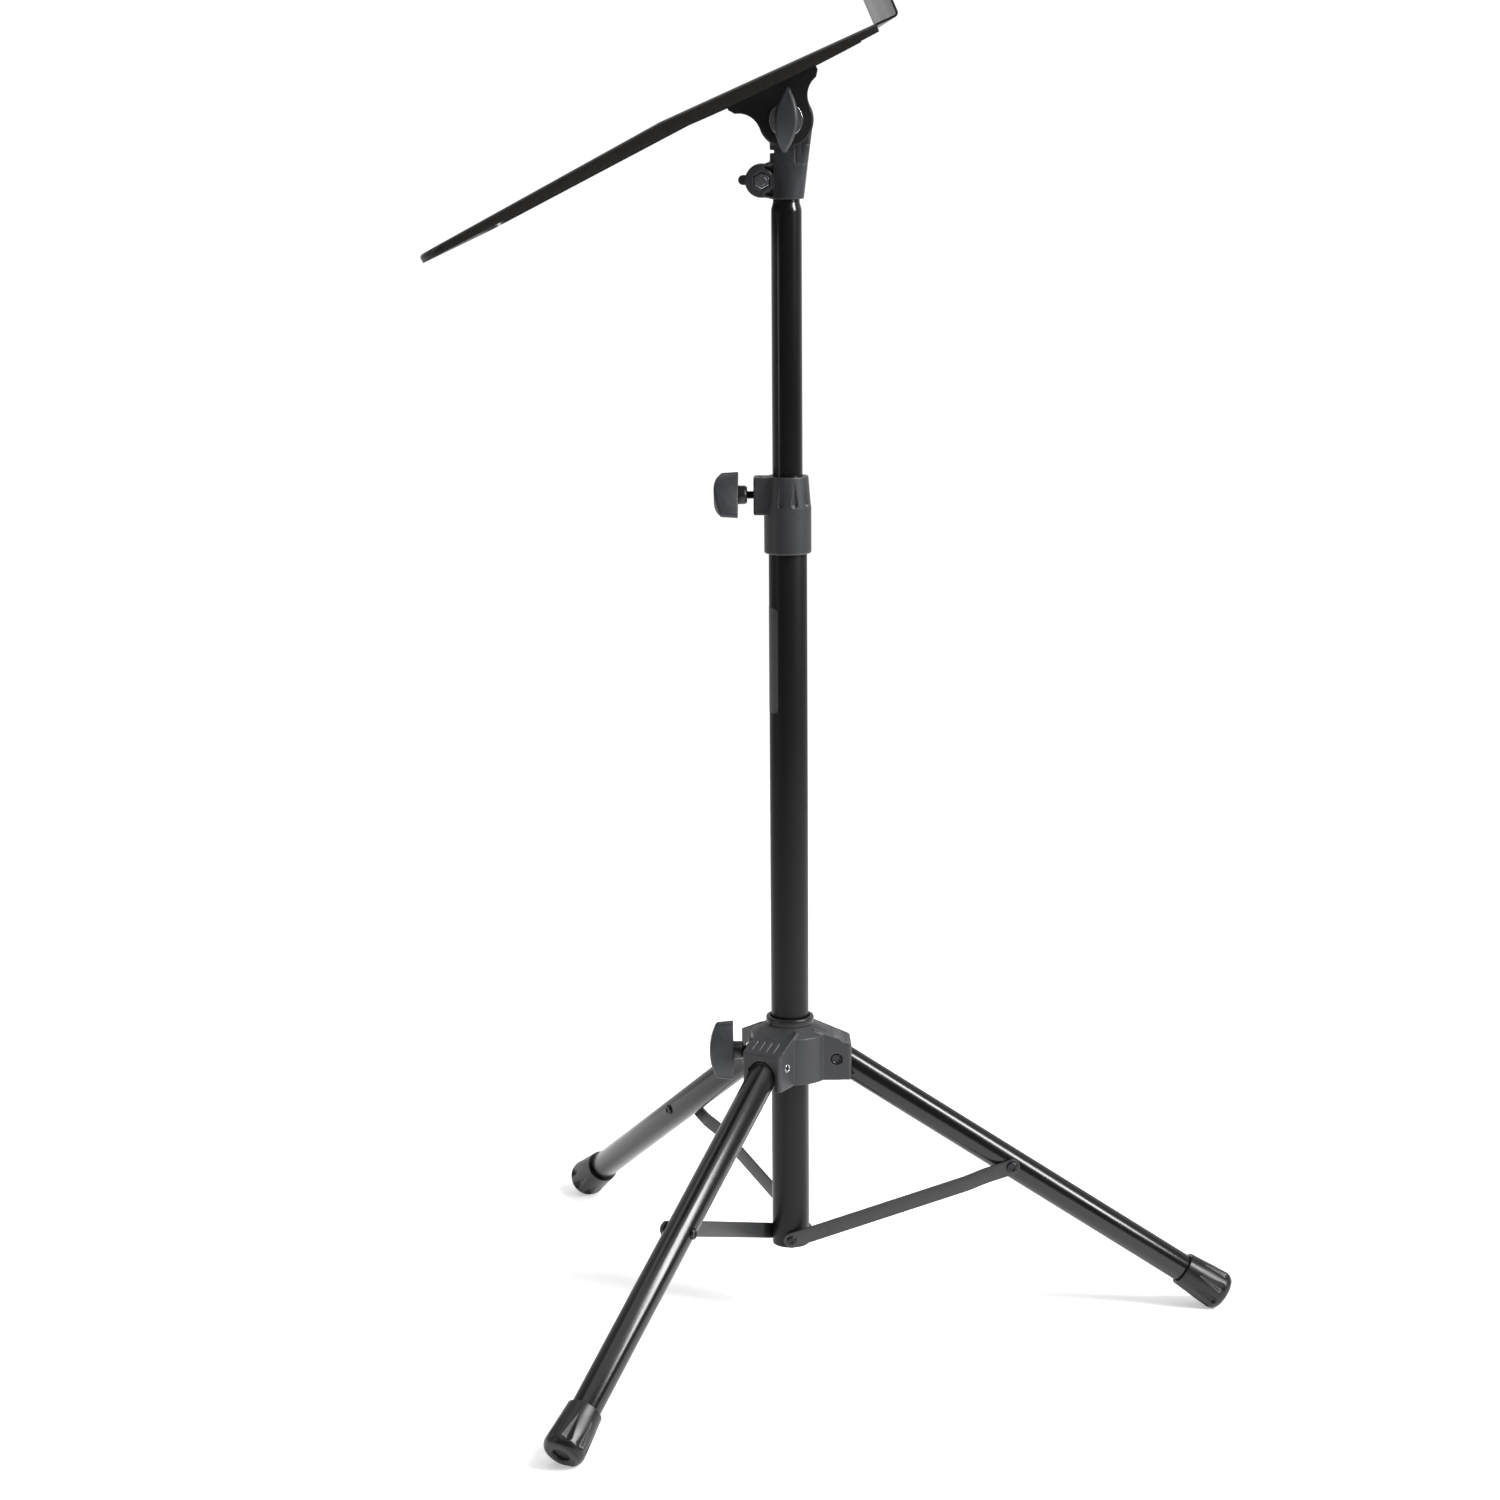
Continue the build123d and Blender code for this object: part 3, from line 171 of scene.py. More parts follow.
def surface(name, color, rough, metallic=0.0, specular=0.5, grain=900, grain_depth=0.05, smudge=30,
            smudge_rough=0.08, tone=0.12, stretch=(1, 1, 1), worn_and_highlight_color=None, worn_and_highlight_amount=0.0):
    """Procedural finish: a base colour with tone drift, uneven roughness, a fine grain and lighter edges, partly
    worn paint and partly a painted edge highlight.

    grain and smudge are the features to the metre of the fine bump and of the tone drift.
    """
    material, nodes, links = new_material(name)
    shader = nodes["Principled BSDF"]
    shader.inputs["Metallic"].default_value = metallic
    shader.inputs["Specular IOR Level"].default_value = specular
    drift = noise_at(nodes, links, smudge, 3.0, stretch)
    fine = noise_at(nodes, links, grain, 4.0, stretch)
    shade = nodes.new("ShaderNodeMix")
    shade.data_type = "RGBA"
    shade.inputs["A"].default_value = [c * (1 - tone) for c in color] + [1]
    shade.inputs["B"].default_value = [c * (1 + tone) for c in color] + [1]
    links.new(ramp(nodes, links, drift, 0, 1, 0.3, 0.7), shade.inputs["Factor"])
    base = shade.outputs["Result"]
    # convex edges get a lighter colour in noisy patches: partly worn paint, partly a painted edge highlight
    if worn_and_highlight_color:
        edge = nodes.new("ShaderNodeAttribute")
        edge.attribute_name = "wear_and_edge_highlight"
        patch = nodes.new("ShaderNodeMath")
        patch.operation = "MULTIPLY"
        links.new(edge.outputs["Fac"], patch.inputs[0])
        rubs = noise_at(nodes, links, rub_scale, 5.0)
        links.new(ramp(nodes, links, rubs, 0, worn_and_highlight_amount, 0.42, 0.6), patch.inputs[1])
        rubbed_and_highlit = nodes.new("ShaderNodeMix")
        rubbed_and_highlit.data_type = "RGBA"
        rubbed_and_highlit.inputs["B"].default_value = [*worn_and_highlight_color, 1]
        links.new(patch.outputs["Value"], rubbed_and_highlit.inputs["Factor"])
        links.new(base, rubbed_and_highlit.inputs["A"])
        base = rubbed_and_highlit.outputs["Result"]
    links.new(base, shader.inputs["Base Color"])
    links.new(
        ramp(nodes, links, drift, rough - smudge_rough / 2, rough + smudge_rough / 2, 0.3, 0.7),
        shader.inputs["Roughness"],
    )
    bump = nodes.new("ShaderNodeBump")
    bump.inputs["Strength"].default_value = grain_depth
    bump.inputs["Distance"].default_value = bump_distance
    links.new(fine, bump.inputs["Height"])
    links.new(bump.outputs["Normal"], shader.inputs["Normal"])
    return material


finishes = {
    "lower_tube_paint": surface(
        "lower_tube_paint", (0.0065, 0.0065, 0.007), 0.36, specular=0.2, grain=600, grain_depth=0.03,
        smudge_rough=0.06, stretch=(1, 1, 0.35),
    ),
    "gloss_black_paint": surface(
        "gloss_black_paint", (0.0045, 0.0045, 0.005), 0.21, grain=400, grain_depth=0.012,
        smudge_rough=0.05, stretch=(1, 1, 0.4),
    ),
    "desk_paint": surface(
        "desk_paint", (0.017, 0.016, 0.0145), 0.3, grain=900, grain_depth=0.03, smudge=9,
        smudge_rough=0.06, tone=0.08, worn_and_highlight_color=(0.07, 0.07, 0.07), worn_and_highlight_amount=0.25,
    ),
    "bracket_paint": surface(
        "bracket_paint", (0.0065, 0.0065, 0.007), 0.46, specular=0.35, grain=1200, grain_depth=0.08,
        worn_and_highlight_color=(0.06, 0.06, 0.06), worn_and_highlight_amount=0.3,
    ),
    "brace_paint": surface(
        "brace_paint", (0.024, 0.025, 0.026), 0.38, grain=800, grain_depth=0.05, tone=0.06,
        worn_and_highlight_color=(0.09, 0.09, 0.09), worn_and_highlight_amount=0.2,
    ),
    "head_paint": surface(
        "head_paint", (0.023, 0.024, 0.027), 0.36, grain=1000, grain_depth=0.06,
        worn_and_highlight_color=(0.10, 0.10, 0.11), worn_and_highlight_amount=0.4,
    ),
    "hub_plastic": surface(
        "hub_plastic", (0.023, 0.024, 0.027), 0.42, grain=1400, grain_depth=0.12,
        worn_and_highlight_color=(0.10, 0.10, 0.11), worn_and_highlight_amount=0.5,
    ),
    "knob_plastic": surface(
        "knob_plastic", (0.030, 0.0325, 0.038), 0.46, grain=1500, grain_depth=0.12,
        worn_and_highlight_color=(0.10, 0.10, 0.11), worn_and_highlight_amount=0.3,
    ),
    "black_plastic": surface("black_plastic", (0.010, 0.010, 0.011), 0.36, grain=1200),
    "pad_plastic": surface("pad_plastic", (0.55, 0.54, 0.50), 0.5, grain_depth=0.1),
    "foot_rubber": surface(
        "foot_rubber", (0.010, 0.010, 0.011), 0.33, specular=0.35, grain=700, smudge=60,
        smudge_rough=0.12, tone=0.25,
    ),
    "bright_steel": surface(
        "bright_steel", (0.55, 0.56, 0.58), 0.22, metallic=1.0, grain=1500, grain_depth=0.04,
    ),
    # very dark base: the steel's own black finish, made darker still as a painted shade for the pin heads in
    # their recesses
    "dark_steel": surface("dark_steel", (0.032, 0.032, 0.035), 0.25, metallic=0.9, grain=1500),
    "label_film": surface("label_film", (0.036, 0.036, 0.037), 0.42, grain=1200, grain_depth=0.03),
}
slot_of = {row["node"]: row["material_slot"] for row in frame["record"]["subparts"]}

for name, node in frame["nodes"].items():
    node.data.materials.clear()
    node.data.materials.append(finishes[slot_of[name]])


# ---------------------------------------------------------------- mesh building
def add_bevel(piece, width, angle):
    """Breaks the edges that are sharper than an angle in degrees."""
    bevel = piece.modifiers.new("edge", "BEVEL")
    bevel.width = width
    bevel.segments = 3
    bevel.limit_method = "ANGLE"
    bevel.angle_limit = radians(angle)


def new_piece(name, shape, body, slot_name, nodes, edge=0.0):
    """A finished piece from a bmesh: it rides on a body and stands for some CAD nodes."""
    bmesh.ops.remove_doubles(shape, verts=shape.verts, dist=1e-7)
    bmesh.ops.recalc_face_normals(shape, faces=shape.faces)
    mesh = bpy.data.meshes.new(name)
    shape.to_mesh(mesh)
    shape.free()
    piece = bpy.data.objects.new(name, mesh)
    bpy.context.scene.collection.objects.link(piece)
    if edge:
        add_bevel(piece, edge, 32)
    return finish_piece(piece, body, slot_name, nodes)


def finish_piece(piece, body, slot_name, nodes):
    """Freezes a piece's modifiers, marks its lighter edges (worn paint and a painted edge highlight) and hands
    it to the frame.
    """
    bpy.context.view_layer.update()
    graph = bpy.context.evaluated_depsgraph_get()
    mesh = bpy.data.meshes.new_from_object(piece.evaluated_get(graph))
    piece.modifiers.clear()
    piece.data = mesh
    mesh.materials.clear()
    mesh.materials.append(finishes[slot_name])
    mesh.shade_smooth()
    mesh.set_sharp_from_angle(angle=radians(38))
    mark_wear_and_edge_highlight(mesh)
    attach(piece, body)
    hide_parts(*nodes)
    return piece


def mark_wear_and_edge_highlight(mesh):
    """Stores how sharply each vertex stands out, as the attribute that lightens edges: partly worn paint, partly
    a painted edge highlight.
    """
    count = len(mesh.vertices)
    place = np.empty(count * 3)
    mesh.vertices.foreach_get("co", place)
    place = place.reshape(-1, 3)
    normal = np.empty(count * 3)
    mesh.vertices.foreach_get("normal", normal)
    normal = normal.reshape(-1, 3)
    ends = np.empty(len(mesh.edges) * 2, np.int64)
    mesh.edges.foreach_get("vertices", ends)
    one, two = ends.reshape(-1, 2).T
    step = place[two] - place[one]
    length = np.maximum(np.linalg.norm(step, axis=1), 1e-9)
    rise = np.zeros(count)
    share = np.zeros(count)
    np.add.at(rise, one, -(normal[one] * step).sum(1) / length)
    np.add.at(rise, two, (normal[two] * step).sum(1) / length)
    np.add.at(share, one, 1)
    np.add.at(share, two, 1)
    sharp = np.clip(rise / np.maximum(share, 1) * 5, 0, 1)
    layer = mesh.attributes.new("wear_and_edge_highlight", "FLOAT", "POINT")
    layer.data.foreach_set("value", sharp.astype(np.float32))


def stand(origin, axis, side=None):
    """Matrix whose Z runs along axis from origin, with X towards side if it is given."""
    along = Vector(axis).normalized()
    across = Vector(side) if side is not None else along.orthogonal()
    across = (across - along * across.dot(along)).normalized()
    turn = along.cross(across)
    return Matrix(
        (
            (across.x, turn.x, along.x, origin[0]),
            (across.y, turn.y, along.y, origin[1]),
            (across.z, turn.z, along.z, origin[2]),
            (0, 0, 0, 1),
        )
    )


def add_rings(shape, place, rings, closed=False):
    """Skins a list of rings of local points; a ring of one point is a pole."""
    made = [[shape.verts.new(place @ Vector(point)) for point in ring] for ring in rings]
    pairs = list(zip(made, made[1:] + made[:1])) if closed else list(zip(made, made[1:]))
    for low, high in pairs:
        count = max(len(low), len(high))
        for i in range(count):
            j = (i + 1) % count
            corners = [low[i % len(low)], low[j % len(low)], high[j % len(high)], high[i % len(high)]]
            corners = list(dict.fromkeys(corners))
            if len(corners) > 2:
                shape.faces.new(corners)


def add_turned(shape, place, profile, closed=False, segments=96):
    """Lathe about the matrix's Z axis; profile holds (radius, height) in mm."""
    rings = []
    for radius, height in profile:
        if radius == 0:
            rings.append([(0, 0, height * MM)])
            continue
        angles = [2 * pi * i / segments for i in range(segments)]
        rings.append([(radius * MM * cos(t), radius * MM * sin(t), height * MM) for t in angles])
    add_rings(shape, place, rings, closed)


def add_thread(shape, place, radius, pitch, start, end, segments=48):
    """Threaded rod between two heights, in mm, with plain ends."""
    depth = 0.55 * pitch
    rows = int((end - start) / pitch * 8)
    rings = [[(0, 0, start * MM)]]
    for row in range(rows + 1):
        height = start + (end - start) * row / rows
        fade = min(1, (height - start) / pitch, (end - height) / pitch)
        ring = []
        for i in range(segments):
            turn = i / segments
            wave = abs(2 * ((height / pitch - turn) % 1) - 1)
            r = (radius - depth * wave * fade) * MM
            ring.append((r * cos(2 * pi * turn), r * sin(2 * pi * turn), height * MM))
        rings.append(ring)
    rings.append([(0, 0, end * MM)])
    add_rings(shape, place, rings)


def turned(name, place, profile, body, slot_name, nodes, edge=0.4, closed=False):
    """Finished piece made by one turned profile."""
    shape = bmesh.new()
    add_turned(shape, place, profile, closed)
    return new_piece(name, shape, body, slot_name, nodes, edge * MM)


def softened(node, voxel=0.45, passes=6):
    """Moulded piece: the CAD solid with its edges rounded over."""
    source = frame["nodes"][node]
    shape = bmesh.new()
    shape.from_mesh(source.data)
    bmesh.ops.remove_doubles(shape, verts=shape.verts, dist=1e-6)
    mesh = bpy.data.meshes.new(node)
    shape.to_mesh(mesh)
    shape.free()
    piece = bpy.data.objects.new(node + "_moulding", mesh)
    bpy.context.scene.collection.objects.link(piece)
    remesh = piece.modifiers.new("skin", "REMESH")
    remesh.mode = "VOXEL"
    remesh.voxel_size = voxel * MM
    smooth = piece.modifiers.new("soften", "SMOOTH")
    smooth.factor = 0.5
    smooth.iterations = passes
    return finish_piece(piece, source["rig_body"], slot_of[node], [node])


def broken_edges(node, edge=0.3):
    """Pressed or cut piece: the CAD solid with its facets merged and its edges broken."""
    source = frame["nodes"][node]
    shape = bmesh.new()
    shape.from_mesh(source.data)
    bmesh.ops.remove_doubles(shape, verts=shape.verts, dist=1e-6)
    bmesh.ops.dissolve_limit(shape, angle_limit=radians(1.5), verts=shape.verts, edges=shape.edges)
    return new_piece(node + "_finished", shape, source["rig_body"], slot_of[node], [node], edge * MM)


# ---------------------------------------------------------------- column
end_cap_r = 13.8
neck_r = 9.6
neck_bore_r = 8.4
neck_length = 30.0
upper_bore_r = 9.8
guide_r = 12.44
guide_bore_r = 8.6


def heights(node):
    """Heights of a CAD node's bottom and top, in mm."""
    return [corner.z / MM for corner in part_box(node)]


def column_pieces():
    """The two tubes with the plug, the sleeve and the label that go with them."""
    at_foot = stand(column_foot, UP, (1, 0, 0))
    low, high = heights("lower_tube")
    turned("lower_tube_finished", at_foot,
           [(lower_r, low), (lower_r, high), (lower_bore_r, high), (lower_bore_r, low)],
           "column", "lower_tube_paint", ["lower_tube"], edge=0.35, closed=True)
    cap_low, cap_high = heights("lower_tube_end_cap")
    turned("end_cap_finished", at_foot,
           [(0, cap_low + 1.2), (10.5, cap_low + 0.7), (11.2, cap_low), (end_cap_r, cap_low),
            (end_cap_r, low), (12.4, low), (12.4, cap_high), (10.3, cap_high), (10.3, low + 2), (0, low + 2)],
           "column", "black_plastic", ["lower_tube_end_cap"], edge=0.3)
    tube_bottom, tube_top = heights("upper_tube")
    neck = tube_top - neck_length
    turned("upper_tube_finished", at_foot,
           [(upper_r, tube_bottom), (upper_r, neck), (10.95, neck + 1.2), (10.7, neck + 2.6),
            (10.2, neck + 4.2), (9.75, neck + 5.8), (neck_r, neck + 7), (neck_r, tube_top),
            (neck_bore_r, tube_top), (neck_bore_r, neck + 7), (upper_bore_r, neck), (upper_bore_r, tube_bottom)],
           "upper_mast", "gloss_black_paint", ["upper_tube"], edge=0.3, closed=True)
    bottom, top = heights("upper_tube_guide")
    turned("upper_tube_guide_finished", at_foot,
           [(upper_r, bottom + 2), (upper_r, top), (guide_r, top), (guide_r, bottom),
            (guide_bore_r, bottom), (guide_bore_r, bottom + 2)],
           "upper_mast", "black_plastic", ["upper_tube_guide"], edge=0.3, closed=True)
    label_piece()


label_half_angle = radians(57)
label_t = 0.15 * MM
label_corner_r = 4 * MM
label_columns = 72


def label_piece():
    """Blank label with rounded corners, wrapped round the lower tube."""
    low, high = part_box("lower_tube_label")
    half_height = (high.z - low.z) / 2
    middle = (high.z + low.z) / 2
    radius = lower_r * MM
    half_width = radius * label_half_angle
    shape = bmesh.new()
    rows = []
    for i in range(label_columns + 1):
        across = -half_width * cos(pi * i / label_columns)
        into_corner = max(0.0, abs(across) - (half_width - label_corner_r))
        reach = half_height - label_corner_r + sqrt(max(label_corner_r**2 - into_corner**2, 0))
        turn = pi + across / radius
        for r in (radius, radius + label_t):
            x, y = column_x + r * cos(turn), column_y + r * sin(turn)
            rows.append([(x, y, middle - reach), (x, y, middle + reach)])
    made = [[shape.verts.new(point) for point in row] for row in rows]
    inner, outer = made[0::2], made[1::2]
    for i in range(label_columns):
        shape.faces.new([outer[i][0], outer[i + 1][0], outer[i + 1][1], outer[i][1]])
        shape.faces.new([inner[i][0], inner[i][1], inner[i + 1][1], inner[i + 1][0]])
        for k in (0, 1):
            shape.faces.new([inner[i][k], inner[i + 1][k], outer[i + 1][k], outer[i][k]])
    for i in (0, label_columns):
        shape.faces.new([inner[i][0], inner[i][1], outer[i][1], outer[i][0]])
    new_piece("label_finished", shape, "column", "label_film", ["lower_tube_label"])


# ---------------------------------------------------------------- clamp knobs
tee_length = 46.0
tee_width = 16.4
tee_end_r = 2.5
tee_thickness = 17.8
tee_end_thickness = 13.4
tee_draft = 1.0
tee_base_edge = 0.7
tee_top_edge = 2.4
tee_bow_steps = 44
tee_cap_steps = 9
tee_base_steps = 4
tee_top_steps = 6
ferrule_r = 6.8
ferrule_mouth_r = 5.9
grip_bite = 9.0


def tee_half_width(x):
    """Half the lens-shaped tee's width at a distance from its middle, in mm."""
    tip = tee_length / 2 - tee_end_r
    if abs(x) > tip:
        return sqrt(max(tee_end_r**2 - (abs(x) - tip) ** 2, 0))
    bow = tee_width / 2 - tee_end_r
    bow_r = (tip**2 + bow**2) / (2 * bow)
    return tee_width / 2 - bow_r + sqrt(bow_r**2 - x**2)


def tee_height(x):
    """Height of the tee's bowed outer side, in mm."""
    bow = tee_thickness - tee_end_thickness
    bow_r = ((tee_length / 2) ** 2 + bow**2) / (2 * bow)
    return tee_thickness - bow_r + sqrt(bow_r**2 - x**2)


def tee_levels():
    """Inset, rise and side (0 flat, 1 bowed) of each outline that the tee is skinned over."""
    levels = []
    for i in range(tee_base_steps + 1):
        turn = pi / 2 * i / tee_base_steps
        levels.append((tee_base_edge * (1 - sin(turn)), tee_base_edge * (1 - cos(turn)), 0))
    for i in range(tee_top_steps + 1):
        turn = pi / 2 * i / tee_top_steps
        levels.append((tee_top_edge * (1 - cos(turn)), tee_top_edge * (sin(turn) - 1), 1))
    return levels


def add_tee(shape, place):
    """Lens-shaped grip, flat inside and bowed outside, with its edges rounded over; X runs along it."""
    half = tee_length / 2
    tip = half - tee_end_r
    cap = [tip + tee_end_r * sin(pi / 2 * i / tee_cap_steps) for i in range(1, tee_cap_steps + 1)]
    bow = [-tip + 2 * tip * i / tee_bow_steps for i in range(tee_bow_steps + 1)]
    stations = [-x for x in reversed(cap)] + bow + cap
    sides = []
    for inset, rise, top in tee_levels():
        shrink = 1 - (inset + tee_draft * top) / half
        line = []
        for x in stations:
            if abs(x) < tip:
                wide = max(tee_half_width(x) - inset, 0)
            else:
                wide = tee_half_width(x) * (1 - inset / tee_end_r)
            height = (tee_height(x) if top else 0) + rise
            line.append((x * shrink, wide, height))
        sides.append(line)
    grid = []
    for line in sides:
        upper = [shape.verts.new(place @ (Vector((x, y, z)) * MM)) for x, y, z in line]
        lower = [shape.verts.new(place @ (Vector((x, -y, z)) * MM)) for x, y, z in line]
        grid.append((upper, lower))
    for (low_a, low_b), (high_a, high_b) in zip(grid, grid[1:]):
        for i in range(len(stations) - 1):
            shape.faces.new([low_a[i], low_a[i + 1], high_a[i + 1], high_a[i]])
            shape.faces.new([low_b[i], low_b[i + 1], high_b[i + 1], high_b[i]])
    for upper, lower in (grid[0], grid[-1]):
        for i in range(len(stations) - 1):
            shape.faces.new([upper[i], upper[i + 1], lower[i + 1], lower[i]])
    for end in (0, -1):
        for (low_a, low_b), (high_a, high_b) in zip(grid, grid[1:]):
            shape.faces.new([low_a[end], low_b[end], high_b[end], high_a[end]])


def tee_grip(name, joint_name, origin, turn, start):
    """Grip of a clamp knob; turn is how far its tee stands from upright."""
    axis = Vector(joints[joint_name]["axis"])
    tee = Matrix.Rotation(radians(turn), 3, axis) @ UP
    shape = bmesh.new()
    add_tee(shape, stand(origin + axis * start * MM, axis, tee))
    new_piece(f"{name}_grip_finished", shape, name, "knob_plastic", [f"{name}_grip"])


def clamp_knob(name, joint_name, turn, screw_r, pitch, ferrule_from, grip_from, tip):
    """Grip, ferrule and threaded screw of a tee knob; distances run from the column axis along the screw."""
    joint = joints[joint_name]
    axis = Vector(joint["axis"])
    origin = Vector((column_x, column_y, joint["pos_m"][2]))
    place = stand(origin, axis)
    turned(f"{name}_ferrule_finished", place,
           [(screw_r, ferrule_from), (ferrule_mouth_r, ferrule_from), (6.3, ferrule_from + 0.9),
            (ferrule_r, ferrule_from + 1.6), (ferrule_r, grip_from), (screw_r, grip_from)],
           name, "black_plastic", [f"{name}_ferrule"], edge=0.25, closed=True)
    shape = bmesh.new()
    add_thread(shape, place, screw_r, pitch, tip, grip_from + grip_bite)
    new_piece(f"{name}_screw_finished", shape, name, "dark_steel", [f"{name}_screw"])
    tee_grip(name, joint_name, origin, turn, grip_from)


# ---------------------------------------------------------------- legs, feet and braces
foot_start = 317.2
foot_length = 37.6
foot_mouth_r = 13.0
foot_max_r = 15.2
foot_shoulder_l = 31.2
foot_end_r = 10.8
foot_dish_r = 8.0
foot_dish_depth = 2.0
foot_bore_r = 10.8
foot_bore_l = 28.8
foot_flutes = 8
flute_from = 9.0
flute_widest = 29.4
flute_to = 32.4
flute_half = 4.3
flute_depth = 2.3
flute_roundness = 1.8
foot_edge = 0.4
foot_segments = 320
foot_rings = 60
foot_round_rings = 20
dish_edge = 1.4


def foot_plain_radius(along):
    """Radius of the rubber foot, in mm, at a distance from its mouth: a cone with a rounded end."""
    if along < foot_shoulder_l:
        return foot_mouth_r + (foot_max_r - foot_mouth_r) * along / foot_shoulder_l
    share = (along - foot_shoulder_l) / (foot_length - foot_shoulder_l)
    return foot_end_r + (foot_max_r - foot_end_r) * sqrt(max(0, 1 - share**2))


def flute_cut(along, angle):
    """Depth of the teardrop flutes: pointed towards the mouth, rounded and deepest near the end."""
    pitch = 2 * pi / foot_flutes
    aside = abs((angle + pitch / 2) % pitch - pitch / 2) * foot_plain_radius(along)
    if along < flute_widest:
        share = max(0, (along - flute_from) / (flute_widest - flute_from))
    else:
        share = sqrt(max(0, 1 - ((along - flute_widest) / (flute_to - flute_widest)) ** 2))
    half = flute_half * share
    if aside >= half:
        return 0
    return flute_depth * share * (1 - (aside / half) ** 2) ** flute_roundness


def add_foot(shape, place, start):
    """Rubber foot from its mouth outwards, with a dished end and a bore for the leg."""
    angles = [2 * pi * (i + 0.5) / foot_segments for i in range(foot_segments)]
    fluted = foot_shoulder_l - flute_from
    rounded = foot_length - foot_shoulder_l
    stations = [0, foot_edge, 1.0, 4.0, 8.0]
    stations += [flute_from + fluted * i / foot_rings for i in range(foot_rings + 1)]
    stations += [
        foot_shoulder_l + rounded * sin(pi / 2 * i / foot_round_rings) for i in range(1, foot_round_rings + 1)
    ]

    def circle(radius, along):
        return [(radius * MM * cos(t), radius * MM * sin(t), (start + along) * MM) for t in angles]

    rings = [[(0, 0, (start + foot_bore_l) * MM)]]
    rings += [circle(foot_bore_r, foot_bore_l), circle(foot_bore_r, foot_edge)]
    for along in stations:
        mouth = foot_edge if along == 0 else 0
        ring = []
        for angle in angles:
            radius = foot_plain_radius(along) - flute_cut(along, angle + pi / foot_flutes) - mouth
            ring.append((radius * MM * cos(angle), radius * MM * sin(angle), (start + along) * MM))
        rings.append(ring)
    for i in range(9):
        turn = pi / 16 * i
        radius = foot_dish_r - 0.6 - dish_edge * sin(turn)
        rings.append(circle(radius, foot_length - foot_dish_depth * (1 - cos(turn))))
    rings.append(circle(foot_dish_r / 2, foot_length - foot_dish_depth - 0.25))
    rings.append([(0, 0, (start + foot_length - foot_dish_depth - 0.3) * MM)])
    add_rings(shape, place, rings)
    for vertex in shape.verts:
        vertex.co.z = max(vertex.co.z, 0.0)


def smooth_step(value, start, end):
    """0 before start, 1 past end and an S-shaped rise between them."""
    share = min(1, max(0, (value - start) / (end - start)))
    return share * share * (3 - 2 * share)


def add_strip(shape, place, length, width, thickness, inner_start, inner_end, joggle_from, joggle_to):
    """Flat bar with round ends that steps sideways between two distances, in mm.

    X runs along it and Z outward.
    """
    half = width / 2
    stations = [-half * cos(pi / 2 * i / 12) for i in range(13)]
    stations += [joggle_from * i / 6 for i in range(1, 7)]
    stations += [joggle_from + (joggle_to - joggle_from) * i / 12 for i in range(1, 13)]
    stations += [joggle_to + (length - joggle_to) * i / 3 for i in range(1, 4)]
    stations += [length + half * sin(pi / 2 * i / 12) for i in range(1, 13)]
    rings = []
    for x in stations:
        beyond = max(-x, x - length, 0)
        reach = sqrt(max(half**2 - beyond**2, 0.04))
        inner = inner_start + (inner_end - inner_start) * smooth_step(x, joggle_from, joggle_to)
        outer = inner + thickness
        corners = ((-reach, inner), (reach, inner), (reach, outer), (-reach, outer))
        rings.append([(x * MM, y * MM, z * MM) for y, z in corners])
    add_rings(shape, place, rings)
    shape.faces.ensure_lookup_table()
    for ring in (rings[0], rings[-1]):
        corners = [shape.verts.new(place @ Vector(point)) for point in ring]
        shape.faces.new(corners)


def rivet_profile(head_r, head_t, dish_r, dish_t):
    """Low rivet head with a dished middle, standing on height 0."""
    return [
        (0, head_t - dish_t),
        (dish_r * 0.8, head_t - dish_t),
        (dish_r, head_t - 0.1),
        (dish_r + 0.35, head_t),
        (head_r - 1.0, head_t),
        (head_r - 0.35, head_t * 0.7),
        (head_r, head_t * 0.25),
        (head_r, 0),
        (0, 0),
    ]


leg_from = 8.0
leg_to = 346.0
brace_on_leg = 159.0
brace_w = 11.5
brace_t = 2.0
brace_inner_at_column = 14.35
brace_inner_at_leg = 11.15
joggle_from_end = 40.0
joggle_to_end = 18.0
leg_rivet_r = 2.4
leg_rivet_from = 10.7
leg_rivet_l = 21.1
brace_rivet_from = brace_inner_at_leg + brace_t
pivot_rivet_r = 2.0
pivot_head_from = 16.5
pivot_from = 9.0


